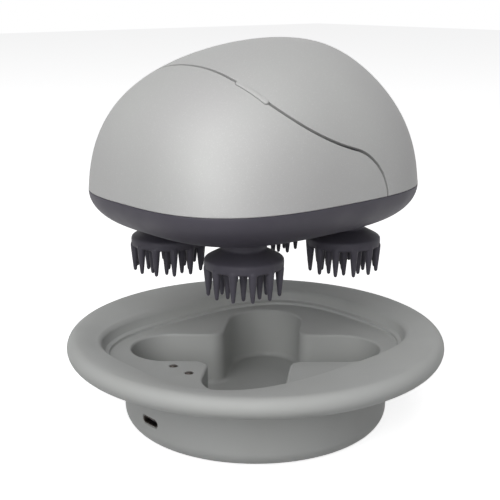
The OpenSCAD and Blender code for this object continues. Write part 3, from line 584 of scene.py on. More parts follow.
class Stuff(Enum):
    """The real materials of the massager and its dock."""

    # Sprayed satin silver over moulded ABS: fine bright flakes under a soft, slightly uneven gloss
    SILVER_PAINT = Finish(
        "satin_silver_painted_abs", "#C4C6C3", "#C0BEBF", 0.6, metallic=0.2, ior=1.45,
        grain_mm=0.35, grain_depth_mm=0.003, drift_mm=45, gloss_patch_mm=14, gloss_change=0.03,
        peel_mm=1.6, peel_depth_mm=0.003, flake_mm=0.25, flake_share=0.14)
    # Charcoal ABS out of a spark-eroded mould: dull, even, with a barely visible fine grain
    CHARCOAL_ABS = Finish(
        "charcoal_moulded_abs", "#35323C", "#3A3641", 0.56, ior=1.52, grain_mm=0.35, grain_depth_mm=0.012,
        drift_mm=25, gloss_patch_mm=9, gloss_change=0.05)
    # Moulded silicone rubber: soft and dusty, with a faint bloom where the light grazes it
    SILICONE = Finish(
        "moulded_silicone_rubber", "#3D3B45", "#444149", 0.62, ior=1.41, grain_mm=0.5, grain_depth_mm=0.008,
        drift_mm=9, gloss_patch_mm=5, gloss_change=0.08, sheen=0.12, sheen_roughness=0.45)
    # Light grey ABS with an eroded texture: matte, with the moulding's slow tone changes
    DOCK_ABS = Finish(
        "stone_grey_textured_abs", "#B9BBBA", "#B4B5B2", 0.58, ior=1.52, grain_mm=0.4, grain_depth_mm=0.016,
        drift_mm=38, gloss_patch_mm=11, gloss_change=0.05)
    # Zinc-plated steel: bright with faint rolling marks
    STEEL = Finish(
        "zinc_plated_steel", "#B8BABD", "#A9ABAF", 0.3, metallic=1.0, grain_mm=0.25, grain_depth_mm=0.002,
        drift_mm=6, gloss_patch_mm=3, gloss_change=0.08, stretch=(1.0, 1.0, 6.0))
    # Sintered bronze: dull brown metal full of fine pores
    BRONZE = Finish(
        "oil_filled_sintered_bronze", "#A8804A", "#8C6A3C", 0.5, metallic=1.0, grain_mm=0.22,
        grain_depth_mm=0.012, drift_mm=3, gloss_patch_mm=2, gloss_change=0.1)
    # Black-nickel contact plating: dark, smooth and a little rubbed
    CONTACT = Finish(
        "black_nickel_plated_contact", "#4A4644", "#5A5450", 0.34, metallic=1.0, grain_mm=0.3,
        grain_depth_mm=0.002, drift_mm=1.5, gloss_patch_mm=1, gloss_change=0.1)
    # Acetal gears: milky, waxy plastic
    ACETAL = Finish(
        "milky_acetal", "#DDD8CB", "#D3CDBE", 0.4, ior=1.48, grain_mm=0.5, grain_depth_mm=0.004,
        drift_mm=12, gloss_patch_mm=6, gloss_change=0.05)
    # Glass-epoxy board under green solder mask: the weave shows as a faint ripple
    BOARD = Finish(
        "green_masked_circuit_board", "#1F5A38", "#1A4D31", 0.35, ior=1.55, grain_mm=0.5,
        grain_depth_mm=0.01, drift_mm=4, gloss_patch_mm=2, gloss_change=0.08, coat=0.3)
    # Shrink sleeve of the cell: glossy thin film with shallow wrinkles
    SLEEVE = Finish(
        "blue_shrink_sleeve", "#2C6D86", "#276279", 0.28, ior=1.5, grain_mm=1.5, grain_depth_mm=0.03,
        drift_mm=10, gloss_patch_mm=5, gloss_change=0.06, stretch=(0.3, 1.0, 1.0))
    # Soft rubber of the feet and seals
    RUBBER = Finish(
        "dark_nitrile_rubber", "#2E2D31", "#353438", 0.75, ior=1.5, grain_mm=0.4, grain_depth_mm=0.015,
        drift_mm=6, gloss_patch_mm=4, gloss_change=0.08)


def dress(piece: bpy.types.Object, stuff: Stuff) -> None:
    """Give a piece one finish all over.

    Args:
        piece: The piece.
        stuff: The real material.
    """
    slots = piece.data.materials
    if len(slots) == 0:
        slots.append(stuff.value.material())
    for index in range(len(slots)):
        slots[index] = stuff.value.material()


@dataclass
class Assembly:
    """One sub-assembly, which keeps the pieces that it has built."""

    pieces: list[bpy.types.Object] = field(default_factory=list, init=False)

    def place(self, piece: bpy.types.Object, body: str, stuff: Stuff, slot: str, *nodes: str) -> None:
        """Dress a piece, let it ride on a body and stand for CAD nodes.

        Args:
            piece: The finished piece.
            body: CAD body that it rides on.
            stuff: Its real material.
            slot: Not used.
            nodes: CAD nodes that it stands for.
        """
        dress(piece, stuff)
        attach(piece, body)
        if nodes:
            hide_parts(*nodes)
        self.pieces.append(piece)

    def report(self) -> None:
        """Log the name and the number of faces of each piece."""
        for piece in self.pieces:
            log.info("%s: %s has %d faces", type(self).__name__, piece.name, len(piece.data.polygons))


# ---------------------------------------------------------------- massager body

@dataclass
class DomeShape:
    """Silver dome: rings that shrink towards a peak which drifts forwards."""

    half_len: float = 56.0
    half_w: float = 46.8
    height: float = 50.8
    outline_power: float = 3.0
    peak_shift: float = 10.8
    rise_power: float = 2.535
    round_power: float = 2.048
    drift_power: float = 6.1
    split_z: float = 88.1
    probe: float = 0.02
    highest: float = 0.99999

    def scale(self, h: float) -> float:
        """Size of the ring at a share of the height."""
        return max(0.0, 1 - h ** self.rise_power) ** (1 / self.round_power)

    def power(self, h: float) -> float:
        """Squareness of the ring at a share of the height."""
        return self.outline_power - (self.outline_power - 2) * h

    def drift(self, h: float) -> float:
        """Forward drift of the ring at a share of the height."""
        return self.peak_shift * h ** self.drift_power

    def ring(self, h: float, inset: float = 0.0, lower: float = 0.0) -> RingPlace:
        """Ring of the dome's skin.

        Args:
            h: Share of the height.
            inset: Distance inside the outer skin.
            lower: Extra drop of the ring.

        Returns:
            The ring.
        """
        s = self.scale(h)
        shape = oval((self.half_len - inset) * s, (self.half_w - inset) * s, self.power(h))
        shift, z = self.drift(h), h * (self.height - inset) - lower + self.split_z

        def place(angle: float) -> Point:
            r = shape(angle, 0)
            return (r * math.cos(angle) + shift, r * math.sin(angle), z)
        return place

    def share(self, z: float) -> float:
        """Share of the height at a height above the split line, kept just below the peak."""
        return min(max(z / self.height, 0.0), self.highest)

    def depth(self, x: float, y: float, z: float) -> float:
        """Value that is 0 on the outer skin and grows outwards."""
        h = self.share(z)
        s, n = self.scale(h), self.power(h)
        return (abs(x - self.drift(h)) / (self.half_len * s)) ** n + (abs(y) / (self.half_w * s)) ** n - 1

    def slope(self, x: float, y: float, z: float) -> Vector:
        """Growth of the depth along each axis over twice the probe's length."""
        d = self.probe
        return Vector((self.depth(x + d, y, z) - self.depth(x - d, y, z),
                       self.depth(x, y + d, z) - self.depth(x, y - d, z),
                       self.depth(x, y, z + d) - self.depth(x, y, z - d)))

    def normal(self, x: float, y: float, z: float) -> Vector:
        """Outward normal of the skin near a point given from the split line."""
        return self.slope(x, y, max(z, self.probe)).normalized()

    def side(self, x: float, z: float) -> float:
        """Distance from the middle plane to the skin at a place seen from the side, or 0 outside it."""
        h = self.share(z)
        s, n = self.scale(h), self.power(h)
        inside = 1 - (abs(x - self.drift(h)) / (self.half_len * s)) ** n
        return self.half_w * s * inside ** (1 / n) if inside > 0 else 0.0

    def on_skin(self, x: float, y: float, z: float) -> bool:
        """Whether a point given from the split line lies within 0.03 mm of the outer skin."""
        return abs(self.depth(x, y, z)) < 0.03 * self.slope(x, y, z).length / (2 * self.probe)


@dataclass
class SeamCurve:
    """Seam between the two silver shells, as two curves seen from the side."""

    shape: DomeShape
    upper: Profile = ((-29.3, 45.0088), (-29.3, 33.02), (-15.0, 22.4028), (4.0, 17.018))
    lower: Profile = ((4.0, 17.018), (11.0, 14.986), (18.2, 7.4168), (18.6, -1.0))
    steps: int = 110

    def flat(self, t: float) -> tuple[float, float]:
        """Point of the seam seen from the side, with t up to 1 on the upper and to 2 on the lower curve."""
        curve, u = (self.upper, t) if t <= 1 else (self.lower, t - 1)
        weights = ((1 - u) ** 3, 3 * u * (1 - u) ** 2, 3 * u * u * (1 - u), u ** 3)
        return (sum(w * p[0] for w, p in zip(weights, curve)), sum(w * p[1] for w, p in zip(weights, curve)))

    def top(self) -> float:
        """Value of t at which the seam crosses the ridge of the dome."""
        low, high = 0.0, 1.0
        for _ in range(40):
            middle = (low + high) / 2
            if self.shape.side(*self.flat(middle)) > 0:
                high = middle
            else:
                low = middle
        return high

    def path(self) -> list[tuple[Vector, Vector]]:
        """Points on the skin from the front foot over the ridge to the back foot, with their normals."""
        top = self.top()
        made = []
        for index in range(-self.steps, self.steps + 1):
            share = index / self.steps
            x, z = self.flat(top + (2 - top) * share * share)
            y = math.copysign(self.shape.side(x, z), share)
            made.append((Vector((x, y, z)), self.shape.normal(x, y, z)))
        return made


@dataclass
class Body(Assembly):
    """Massager's body: two silver shells with a dark groove between them, the key and the lower case."""

    shape: DomeShape = field(default_factory=DomeShape)
    wall: float = 2.0
    rim_round: float = 0.35
    gap: float = 0.95
    groove_depth: float = 3.2
    mouth_round: float = 0.15
    flare_slope: float = 15.0
    flare_rise: float = 0.7
    fit: float = 0.2
    key_len: float = 13.0
    key_w: float = 1.8
    key_proud: float = 0.4
    key_crown: float = 46.0
    key_round: float = 0.35
    key_neck: float = -1.2
    key_flange_z: float = -3.3
    key_flange_t: float = 0.8
    key_flange_extra: float = 1.6
    key_pos: Point = (-26.7688, -28.7542, 36.3347)
    key_n: Point = (-0.342331, -0.529705, 0.77603)
    key_t: Point = (0.270852, -0.846506, -0.45833)
    slot_ends: tuple[float, float] = (-5.0, 3.0)
    case_h: float = 13.0
    case_round: float = 0.34
    lap_in: float = 2.5
    lap_t: float = 1.4
    lap_h: float = 3.0
    lap_drop: float = 1.2
    lap_edge: float = 0.2
    case_edge: float = 0.3
    seat_in: float = 1.2
    head_x: float = 23.5
    head_y: float = 21.0
    seal_r: float = 6.0
    seal_depth: float = 0.8
    seal_mouth: Profile = ((0.5, -0.6), (0.35, -0.001), (0.1, 0.1), (0.0, 0.35))
    spindle_hole_r: float = 3.3
    pad_hole_r: float = 1.8
    pad_mouth: Profile = ((0.5, -0.6), (0.25, -0.001), (0.0, 0.25))
    hole_end: float = 2.0
    pad_x: float = 34.5
    pad_y: float = 4.45

    def build(self) -> None:
        """Build all pieces of the body."""
        self.shells()
        self.key()
        self.lower_case()

    def shells(self) -> None:
        """Model the dome as one wall, cut the groove and the key's slot, and part the two shells."""
        shape = self.shape
        outer_steps, rim_steps, inner_steps = 60, 4, 40
        foot = oval(shape.half_len, shape.half_w, shape.outline_power)
        outer = [shape.ring(math.sin(math.pi / 2 * j / outer_steps)) for j in range(outer_steps - 1, 0, -1)]
        rim = fillet(foot, -self.rim_round, shape.split_z + self.rim_round, self.rim_round, 0, -90, rim_steps)
        inner = [shape.ring(math.sin(math.pi / 2 * j / inner_steps), self.wall) for j in range(inner_steps)]
        dome = RingForm("dome_shells", 288).build(
            outer + rim + inner,
            start=(shape.peak_shift, 0.0, shape.height + shape.split_z),
            end=(shape.peak_shift, 0.0, shape.height - self.wall + shape.split_z))
        cut_away(dome, self.groove_form())
        cut_away(dome, self.slot_form())
        smooth_by_angle(dome, 32)
        self.true_normals(dome)
        make_active(dome)
        bpy.ops.object.mode_set(mode="EDIT")
        bpy.ops.mesh.select_all(action="SELECT")
        bpy.ops.mesh.separate(type="LOOSE")
        bpy.ops.object.mode_set(mode="OBJECT")
        parts = sorted(bpy.context.selected_objects, key=lambda o: -len(o.data.polygons))[:2]
        for spare in [o for o in bpy.context.selected_objects if o not in parts]:
            bpy.data.objects.remove(spare)
        parts.sort(key=lambda o: max(v.co.x for v in o.data.vertices))
        for part, name, node in zip(parts, ("wrap_shell", "hood_shell"), ("wrap_panel", "hood_panel")):
            part.name = name
            part.data.name = name
            self.place(part, "massager", Stuff.SILVER_PAINT, "silver_shell", node)

    def groove_form(self) -> bpy.types.Object:
        """Form of the groove: a slot with a softly flared mouth that runs along the seam.

        Returns:
            The cutter.
        """
        half, r = self.gap / 2, self.mouth_round
        side = [(half, -self.groove_depth), (half, -r)]
        for degrees in (158, 136, 118, 105):
            turn = math.radians(degrees)
            side.append((half + r + r * math.cos(turn), -r + r * math.sin(turn)))
        x, y = side[-1]
        side.append((x + self.flare_rise / math.tan(math.radians(self.flare_slope)), y + self.flare_rise))
        profile = side + [(-x, y) for x, y in reversed(side)]
        path = SeamCurve(self.shape).path()
        rings = []
        for index, (spot, normal) in enumerate(path):
            before, after = path[max(0, index - 1)][0], path[min(len(path) - 1, index + 1)][0]
            along = (after - before).normalized()
            across = along.cross(normal).normalized()
            rings.append(self.section(spot, across, normal, profile))
        first, final = path[0][0], path[-1][0]
        lift = Vector((0, 0, self.shape.split_z))
        return RingForm("groove_form", len(profile)).build(
            rings, start=tuple(first + lift), end=tuple(final + lift))

    def section(self, spot: Vector, across: Vector, normal: Vector,
                profile: Sequence[tuple[float, float]]) -> RingPlace:
        """Ring of a cross-section that is carried along a path.

        Args:
            spot: Middle of the ring, given from the split line.
            across: Direction of the profile's first coordinate.
            normal: Direction of the profile's second coordinate.
            profile: Points of the cross-section.

        Returns:
            The ring.
        """
        lift = Vector((0, 0, self.shape.split_z))

        def place(angle: float) -> Point:
            x, y = profile[round(angle / TURN * len(profile)) % len(profile)]
            return tuple(spot + lift + across * x + normal * y)
        return place

    def key_ring(self, length: float, width: float, height: float, crowned: bool) -> RingPlace:
        """Pill ring in the key's own directions.

        Args:
            length: Length of the pill.
            width: Width of the pill.
            height: Height along the key's normal, or drop below the crown.
            crowned: Whether the ring follows the key's crown.

        Returns:
            The ring.
        """
        t, n = Vector(self.key_t), Vector(self.key_n)
        side = n.cross(t)
        base = Vector(self.key_pos) + Vector((0, 0, self.shape.split_z))

        def place(angle: float) -> Point:
            x, y = pill_point(angle / TURN, length, width)
            w = height
            if crowned:
                w += self.key_proud - self.key_crown + math.sqrt(self.key_crown ** 2 - x * x - y * y)
            return tuple(base + t * x + side * y + n * w)
        return place

    def key_axis(self, height: float) -> Point:
        """Point on the key's axis at a height along its normal."""
        return tuple(Vector(self.key_pos) + Vector((0, 0, self.shape.split_z)) + Vector(self.key_n) * height)

    def slot_form(self) -> bpy.types.Object:
        """Form of the key's slot, with straight walls.

        Returns:
            The cutter.
        """
        length, width = self.key_len + 2 * self.fit, self.key_w + 2 * self.fit
        start, end = self.slot_ends
        rings = [self.key_ring(length, width, height, False) for height in self.slot_ends]
        return RingForm("slot_form", 96).build(rings, start=self.key_axis(start), end=self.key_axis(end))

    def true_normals(self, dome: bpy.types.Object) -> None:
        """Shade the outer skin with the dome's own normals, so that the cuts leave no marks on it."""
        mesh = dome.data
        shape = self.shape
        known: dict[int, Vector] = {}
        for vert in mesh.vertices:
            x, y, z = vert.co.x / MM, vert.co.y / MM, vert.co.z / MM - shape.split_z
            if z > 0.3 and shape.on_skin(x, y, z):
                known[vert.index] = shape.normal(x, y, z) if z < shape.height * 0.9995 else Vector((0, 0, 1))
        normals = [Vector(corner.vector) for corner in mesh.corner_normals]
        for face in mesh.polygons:
            if all(index in known for index in face.vertices):
                for loop in face.loop_indices:
                    normals[loop] = known[mesh.loops[loop].vertex_index]
        mesh.normals_split_custom_set(normals)

    def key(self) -> None:
        """Model the power key: a slim crowned bar on a flange."""
        r, steps = self.key_round, 5
        top, low = self.key_flange_z, self.key_flange_z - self.key_flange_t
        flange = (self.key_len + self.key_flange_extra, self.key_w + self.key_flange_extra)
        rings = [self.key_ring(*flange, low, False), self.key_ring(*flange, top, False),
                 self.key_ring(self.key_len, self.key_w, top, False),
                 self.key_ring(self.key_len, self.key_w, self.key_neck, False)]
        for step in range(steps + 1):
            turn = math.pi / 2 * step / steps
            inset = r * (1 - math.cos(turn))
            drop = -r * (1 - math.sin(turn))
            rings.append(self.key_ring(self.key_len - 2 * inset, self.key_w - 2 * inset, drop, True))
        for share in (0.6, 0.3, 0.02):
            width = (self.key_w - 2 * r) * share
            rings.append(self.key_ring(self.key_len - self.key_w + width, width, 0.0, True))
        piece = RingForm("key_bar", 96).build(
            rings, start=self.key_axis(low), end=self.key_axis(self.key_proud))
        self.place(piece, "key", Stuff.SILVER_PAINT, "key_silver", "power_key")

    def case_ring(self, depth: float, inset: float = 0.0) -> RingPlace:
        """Ring of the lower case at a depth below the split line."""
        s = 1 - self.case_round * (1 - math.sqrt(max(0.0, 1 - (depth / self.case_h) ** 2)))
        shape = oval(self.shape.half_len * s - inset, self.shape.half_w * s - inset, self.shape.outline_power)
        return level(shape, 0, self.shape.split_z - depth)

    def lower_case(self) -> None:
        """Model the dark lower case, with its lap ring inside and seats for the heads below."""
        shape = self.shape
        top, floor = shape.split_z, self.case_h - self.wall
        outline = oval(shape.half_len, shape.half_w, shape.outline_power)
        edge, soft = self.case_edge, self.lap_edge
        outer_steps, lip_steps, inner_steps = 22, 4, 12
        outer = [self.case_ring(self.case_h * math.sin(math.pi / 2 * j / outer_steps))
                 for j in range(outer_steps, 0, -1)]
        lip = fillet(outline, -edge, top - edge, edge, 0, 90, lip_steps)
        front, back, ridge = -self.lap_in, -self.lap_in - self.lap_t, top + self.lap_h
        lap = [level(outline, -self.seat_in, top), level(outline, front, top),
               level(outline, front, ridge - soft), level(outline, front - soft, ridge),
               level(outline, back + soft, ridge), level(outline, back, ridge - soft),
               level(outline, back, top - self.lap_drop)]
        inner = [self.case_ring(floor * math.cos(math.pi / 2 * j / inner_steps), self.wall)
                 for j in range(inner_steps - 1, -1, -1)]
        case = RingForm("case_shell", 256).build(
            outer + lip + lap + inner, start=(0.0, 0.0, top - self.case_h), end=(0.0, 0.0, top - floor))
        low, far = -self.case_h, -floor + self.hole_end
        spindle, pad = self.spindle_hole_r, self.pad_hole_r
        seat = shifted(self.seal_mouth, self.seal_r, low) + [
            (self.seal_r, low + self.seal_depth), (spindle, low + self.seal_depth), (spindle, far)]
        sink(case, "seat_form", 64, seat,
             [(x, y, top) for x in (-self.head_x, self.head_x) for y in (-self.head_y, self.head_y)])
        sink(case, "pad_form", 64, shifted(self.pad_mouth, pad, low) + [(pad, far)],
             [(-self.pad_x, y, top) for y in (-self.pad_y, self.pad_y)])
        smooth_by_angle(case, 32)
        self.place(case, "massager", Stuff.CHARCOAL_ABS, "case_dark", "lower_case")


# ---------------------------------------------------------------- turning heads

@dataclass
class Heads(Assembly):
    """Four soft heads: a neck, a sloping shoulder, a rim band and tapered fingers below it."""

    split_z: float = 88.1
    places: Places = ((23.5, 21.0), (-23.5, 21.0), (-23.5, -21.0), (23.5, -21.0))
    neck_top: float = -13.4
    neck_r: float = 7.6
    neck_edge: tuple[float, float] = (0.1, 0.5)
    waist_in: float = 0.3
    neck_flare: float = 0.6
    shoulder_z: float = -16.1
    shoulder_in: float = 1.2
    band_edge: tuple[float, float] = (0.5, 0.3)
    band_top: float = -18.6
    band_bottom: float = -21.9
    head_r: float = 13.3
    soft_edge: float = 0.6
    middle_r: float = 2.0
    finger_len: float = 9.4
    finger_root: float = 0.8
    finger_r: float = 1.5
    finger_tip: float = 0.55
    tip_allowance: float = 0.12
    taper_power: float = 1.12
    outer_count: int = 12
    outer_ring: float = 12.2
    inner_count: int = 8
    inner_ring: float = 7.4
    inner_extra: float = 0.6
    ring_turn: float = 2.5
    core_bottom: float = -20.8
    core_t: float = 2.0
    core_r: float = 11.4
    hub_r: float = 5.3
    weld_mm: float = 0.01
    grid_mm: float = 0.3

    def build(self) -> None:
        """Model one head and copy it to the four places."""
        first = self.head("head_form")
        for number, (x, y) in enumerate(self.places, start=1):
            piece = copy_of(first, f"head_bristles_{number}", (x, y, self.split_z))
            self.place(piece, f"head_{number}", Stuff.SILICONE, "silicone_dark", f"head_pad_{number}")
        bpy.data.objects.remove(first)

    def head(self, name: str) -> bpy.types.Object:
        """Model one head about the origin, with heights from the split line.

        Args:
            name: Name of the piece.

        Returns:
            The head.
        """
        edge_in, edge_down = self.neck_edge
        over, under = self.band_edge
        body = rounded([
            (self.hub_r, self.neck_top), (self.neck_r - edge_in, self.neck_top),
            (self.neck_r, self.neck_top - edge_down),
            (self.neck_r - self.waist_in, self.shoulder_z + self.neck_flare),
            (self.neck_r + self.neck_flare, self.shoulder_z),
            (self.head_r - self.shoulder_in, self.band_top + over), (self.head_r, self.band_top - under),
            (self.head_r, self.band_bottom), (self.middle_r, self.band_bottom)], self.soft_edge)
        core_top = self.core_bottom + self.core_t
        hollow = [(self.hub_r, self.neck_top), (self.hub_r, core_top), (self.core_r, core_top),
                  (self.core_r, self.core_bottom), (self.middle_r, self.core_bottom)]
        skin = RingForm(name, 96).build(turned_rings(body), end=(0, 0, self.band_bottom))
        # Cup for the stiff core, made as its own closed wall and joined at the neck
        core = RingForm("core_hollow", 96).build(turned_rings(hollow), end=(0, 0, self.core_bottom))
        shell = join([skin, core], name)
        make_active(shell)
        bpy.ops.object.mode_set(mode="EDIT")
        bpy.ops.mesh.select_all(action="SELECT")
        bpy.ops.mesh.remove_doubles(threshold=self.weld_mm * MM)
        bpy.ops.mesh.normals_make_consistent(inside=False)
        bpy.ops.object.mode_set(mode="OBJECT")
        parts = [shell]
        finger = self.finger(self.finger_len)
        long_finger = self.finger(self.finger_len + self.inner_extra)
        for form, ring, number in ((finger, self.outer_ring, self.outer_count),
                                   (long_finger, self.inner_ring, self.inner_count)):
            for index in range(number):
                parts.append(self.stand(form, ring, self.ring_turn + 360 * index / number))
        parts.append(self.stand(long_finger, 0.0, 0.0))
        bpy.data.objects.remove(finger)
        bpy.data.objects.remove(long_finger)
        head = join(parts, name)
        finish_with(head, "REMESH", mode="VOXEL", voxel_size=self.grid_mm * MM, use_smooth_shade=True)
        finish_with(head, "SMOOTH", factor=0.5, iterations=4)
        smooth_by_angle(head, 60)
        return head

    def finger(self, length: float) -> bpy.types.Object:
        """Model one tapered finger with a rounded tip.

        Args:
            length: Length below the band.

        Returns:
            The finger about the origin, with heights from the split line.
        """
        top = self.band_bottom + self.finger_root
        low = self.band_bottom - length
        tip = self.finger_tip + self.tip_allowance
        profile = [(self.finger_r, top), (self.finger_r, self.band_bottom)]
        for share in (0.2, 0.4, 0.6, 0.8):
            r = self.finger_r + (tip - self.finger_r) * share ** self.taper_power
            profile.append((r, self.band_bottom - (length - tip) * share))
        for degrees in (0, 22, 45, 68):
            turn = math.radians(degrees)
            profile.append((tip * math.cos(turn), low + tip - tip * math.sin(turn)))
        return RingForm("finger_form", 24).build(turned_rings(profile), start=(0, 0, top), end=(0, 0, low))

    def stand(self, finger: bpy.types.Object, ring: float, turn: float) -> bpy.types.Object:
        """Copy a finger to its place on a ring."""
        a = math.radians(turn)
        return copy_of(finger, "finger_set", (ring * math.cos(a), ring * math.sin(a), 0))


# ---------------------------------------------------------------- dock

@dataclass
class Clover:
    """Outline of the dock's recess: a round-ended arm under each head, with rounded corners between."""

    arm_reach: float = 31.5159
    arm_turn: float = 41.7843
    lobe_r: float = 14.4
    corner_r: float = 5.0

    def radius(self, angle: float, grow: float) -> float:
        """Distance from the centre to the outline.

        Args:
            angle: Direction in radians.
            grow: Growth of the outline outwards.

        Returns:
            The distance.
        """
        full = math.degrees(angle) % 180
        turn = full if full <= 90 else 180 - full
        off = turn - self.arm_turn
        spread = 90 - self.arm_turn if off > 0 else self.arm_turn
        off = abs(math.radians(off))
        lobe, corner = self.lobe_r + grow, self.corner_r - grow
        if off <= math.atan2(lobe, self.arm_reach):
            reach = self.arm_reach * math.cos(off)
            return reach + math.sqrt(max(0.0, lobe ** 2 - (self.arm_reach * math.sin(off)) ** 2))
        far = (self.lobe_r + self.corner_r) / math.sin(math.radians(spread))
        touch = far * math.cos(math.radians(spread))
        flank = lobe / math.sin(off)
        if flank * math.cos(off) >= touch:
            return flank
        away = math.radians(spread) - off
        return far * math.cos(away) - math.sqrt(max(0.0, corner ** 2 - (far * math.sin(away)) ** 2))


@dataclass
class Dock(Assembly):
    """Charging dock: the round tray with its lobed recess, the bowl under it, port, pins and feet."""

    clover: Clover = field(default_factory=Clover)
    half_len: float = 56.0
    half_w: float = 46.8
    lip_share: float = 0.955
    lip_power: float = 3.0
    rim_r: float = 68.8
    edge_r: float = 3.7
    rim_z: float = 30.2
    lip_z: float = 32.5
    lip_round: float = 2.2
    deck_z: float = 26.5
    deck_t: float = 2.0
    deck_run: float = 0.9
    step_h: float = 1.2
    step_in: float = 2.2
    step_foot: float = 0.4
    step_edge: float = 0.3
    ledge_in: float = 0.9
    ledge_foot: float = 0.3
    ledge_rise: float = 0.7
    ledge_round: float = 0.35
    recess_h: float = 20.0
    floor_rings: tuple[float, float] = (-14.0, -8.0)
    draft: float = 0.3
    tray_t: float = 1.2
    foot_round: float = 1.6
    mouth_r: float = 0.9
    rim_wall: float = 2.0
    pocket_wall: float = 1.0
    pocket_edge: float = 0.2
    pocket_corner: float = 0.4
    bowl_r: float = 49.0159
    collar_r: float = 54.516
    collar_edge: float = 0.3
    bowl_t: float = 1.4
    bowl_taper: float = 0.6
    bowl_round: float = 6.0
    bowl_z: float = 0.8
    bowl_floor: float = 1.6
    bowl_edge: float = 0.2
    base_rings: tuple[float, float] = (20.0, 36.0)
    pin_x: float = 34.5
    pin_y: float = 4.45
    pin_r: float = 1.4
    pin_top: float = 26.9
    pin_hidden: float = 8.0
    pin_dome: Profile = ((0.0, -0.55), (-0.05, -0.4), (-0.2, -0.2), (-0.5, -0.07), (-0.9, -0.015))
    pin_mouth: Profile = ((0.2, -0.3), (0.28, -0.1), (0.6, 0.25))
    port_z: float = 10.8
    port_w: float = 8.4
    port_h: float = 2.6
    port_face: float = 0.35
    port_mouth: Profile = ((1.4, -1.2), (0.62, -0.02), (0.42, 0.12), (0.3, 0.34), (0.2, 0.6), (0.2, 4.0))
    socket_depth: float = 6.5
    socket_out: float = 0.6
    socket_lip: Profile = ((-0.35, 0.2), (-0.27, 0.05), (-0.12, 0.0), (-0.04, 0.04), (0.0, 0.15))
    tongue_in: float = 1.4
    tongue_size: tuple[float, float] = (4.8, 0.6)
    tongue_edge: float = 0.12
    strip_count: int = 6
    strip_pitch: float = 0.72
    strip_size: Point = (3.2, 0.3, 0.06)
    strip_edge: float = 0.02
    strip_start: float = 0.4
    strip_z: float = 0.31
    boss_places: Places = ((34.1147, 0.0), (0.0, 27.0174), (-28.3147, 0.0), (0.0, -27.0174))
    boss_r: float = 2.6
    boss_bore: float = 1.1
    boss_z: float = 3.4
    boss_edge: float = 0.2
    well_r: float = 2.7
    well_mouth: Profile = ((0.25, -1.0), (0.0, 0.2))
    well_depth: float = 1.0
    screw_hole_r: float = 1.4
    screw_hole_end: float = 3.0
    foot_ring: float = 32.0
    foot_r: float = 4.5
    foot_edge: float = 0.5
    foot_sunk: float = 0.5
    foot_dish: Profile = ((2.0, 0.12), (3.4, 0.1), (3.6, 0.0))
    foot_mouth: Profile = ((0.3, -1.0), (0.15, 0.1), (0.0, 0.5))

    def build(self) -> None:
        """Build all pieces of the dock."""
        self.tray()
        self.bowl()
        self.port()
        self.pins()
        self.feet()

    def tray(self) -> None:
        """Model the tray as one closed skin, from the recess floor over the rim to the cup's underside."""
        clover = self.clover.radius
        lip = oval(self.half_len * self.lip_share, self.half_w * self.lip_share, self.lip_power)
        deck, floor, below = self.deck_z, self.deck_z - self.recess_h, self.deck_z - self.deck_t
        foot, mouth, lip_r = self.foot_round, self.mouth_r, self.lip_round
        step, ledge, shelf = -self.step_in, -self.ledge_in - self.ledge_foot, self.deck_z + self.step_h
        rings = [level(clover, grow, floor) for grow in self.floor_rings]
        rings += fillet(clover, -self.draft - foot, floor + foot, foot, -90, 0, 6)
        rings += [level(clover, -self.draft / 2, (floor + deck) / 2)]
        rings += fillet(clover, mouth, deck - mouth, mouth, 180, 90, 6)
        rings += [level(lip, step - self.deck_run, deck)]
        rings += fillet(lip, step - self.step_foot, deck + self.step_foot, self.step_foot, -90, 0, 4)
        rings += fillet(lip, step + self.step_edge, shelf - self.step_edge, self.step_edge, 180, 90, 4)
        rings += [level(lip, ledge, shelf + self.ledge_foot)]
        rings += fillet(lip, ledge, shelf + self.ledge_rise, self.ledge_round, -70, -10, 3)
        rings += fillet(lip, lip_r, self.lip_z - lip_r, lip_r, 180, 92, 8)
        rim_mid = self.rim_r - self.edge_r
        rise, steps = self.rim_z + self.edge_r - self.lip_z, 8
        for index in range(1, steps + 1):
            share = index / steps
            shape = between(lip, lip_r, circle(rim_mid), share)
            rings.append(level(shape, 0, self.lip_z + rise * math.sin(math.pi / 2 * share)))
        rings += fillet(circle(rim_mid), 0, self.rim_z, self.edge_r, 80, -75, 14)
        under, pocket_top = self.rim_z - self.edge_r, self.lip_z - self.rim_wall
        collar, wall, edge, corner = self.collar_r, self.pocket_wall, self.pocket_edge, self.pocket_corner
        pocket_out = circle(rim_mid - wall)
        pocket_in = widest(lambda a, g: lip(a, lip_r + wall + g), circle(collar + wall))
        rings += [level(circle(rim_mid), 0, under), level(pocket_out, edge, under),
                  level(pocket_out, 0, under + edge), level(pocket_out, 0, pocket_top - corner),
                  level(pocket_out, -corner, pocket_top), level(pocket_in, corner, pocket_top),
                  level(pocket_in, 0, pocket_top - corner), level(pocket_in, 0, under + edge),
                  level(pocket_in, -edge, under), level(circle(collar + corner), 0, under),
                  level(circle(collar), 0, below + self.collar_edge),
                  level(circle(collar), -self.collar_edge, below)]
        cup = self.tray_t
        rings += [level(clover, cup + corner, below), level(clover, cup, below - corner)]
        rings += fillet(clover, cup - self.draft - foot, floor - cup + foot, foot, 0, -90, 5)
        rings += [level(clover, grow, floor - cup) for grow in reversed(self.floor_rings)]
        tray = RingForm("dock_tray_shell", 384).build(rings, start=(0, 0, floor), end=(0, 0, floor - cup))
        hole = shifted(self.pin_mouth, self.pin_r, deck)
        sink(tray, "pin_form", 48, [(hole[0][0], below - 1)] + hole,
             [(-self.pin_x, y, 0) for y in (-self.pin_y, self.pin_y)])
        smooth_by_angle(tray, 32)
        tray = join([tray] + self.bosses(below + self.boss_edge), "dock_tray_shell")
        self.place(tray, "dock", Stuff.DOCK_ABS, "dock_grey", "dock_tray")

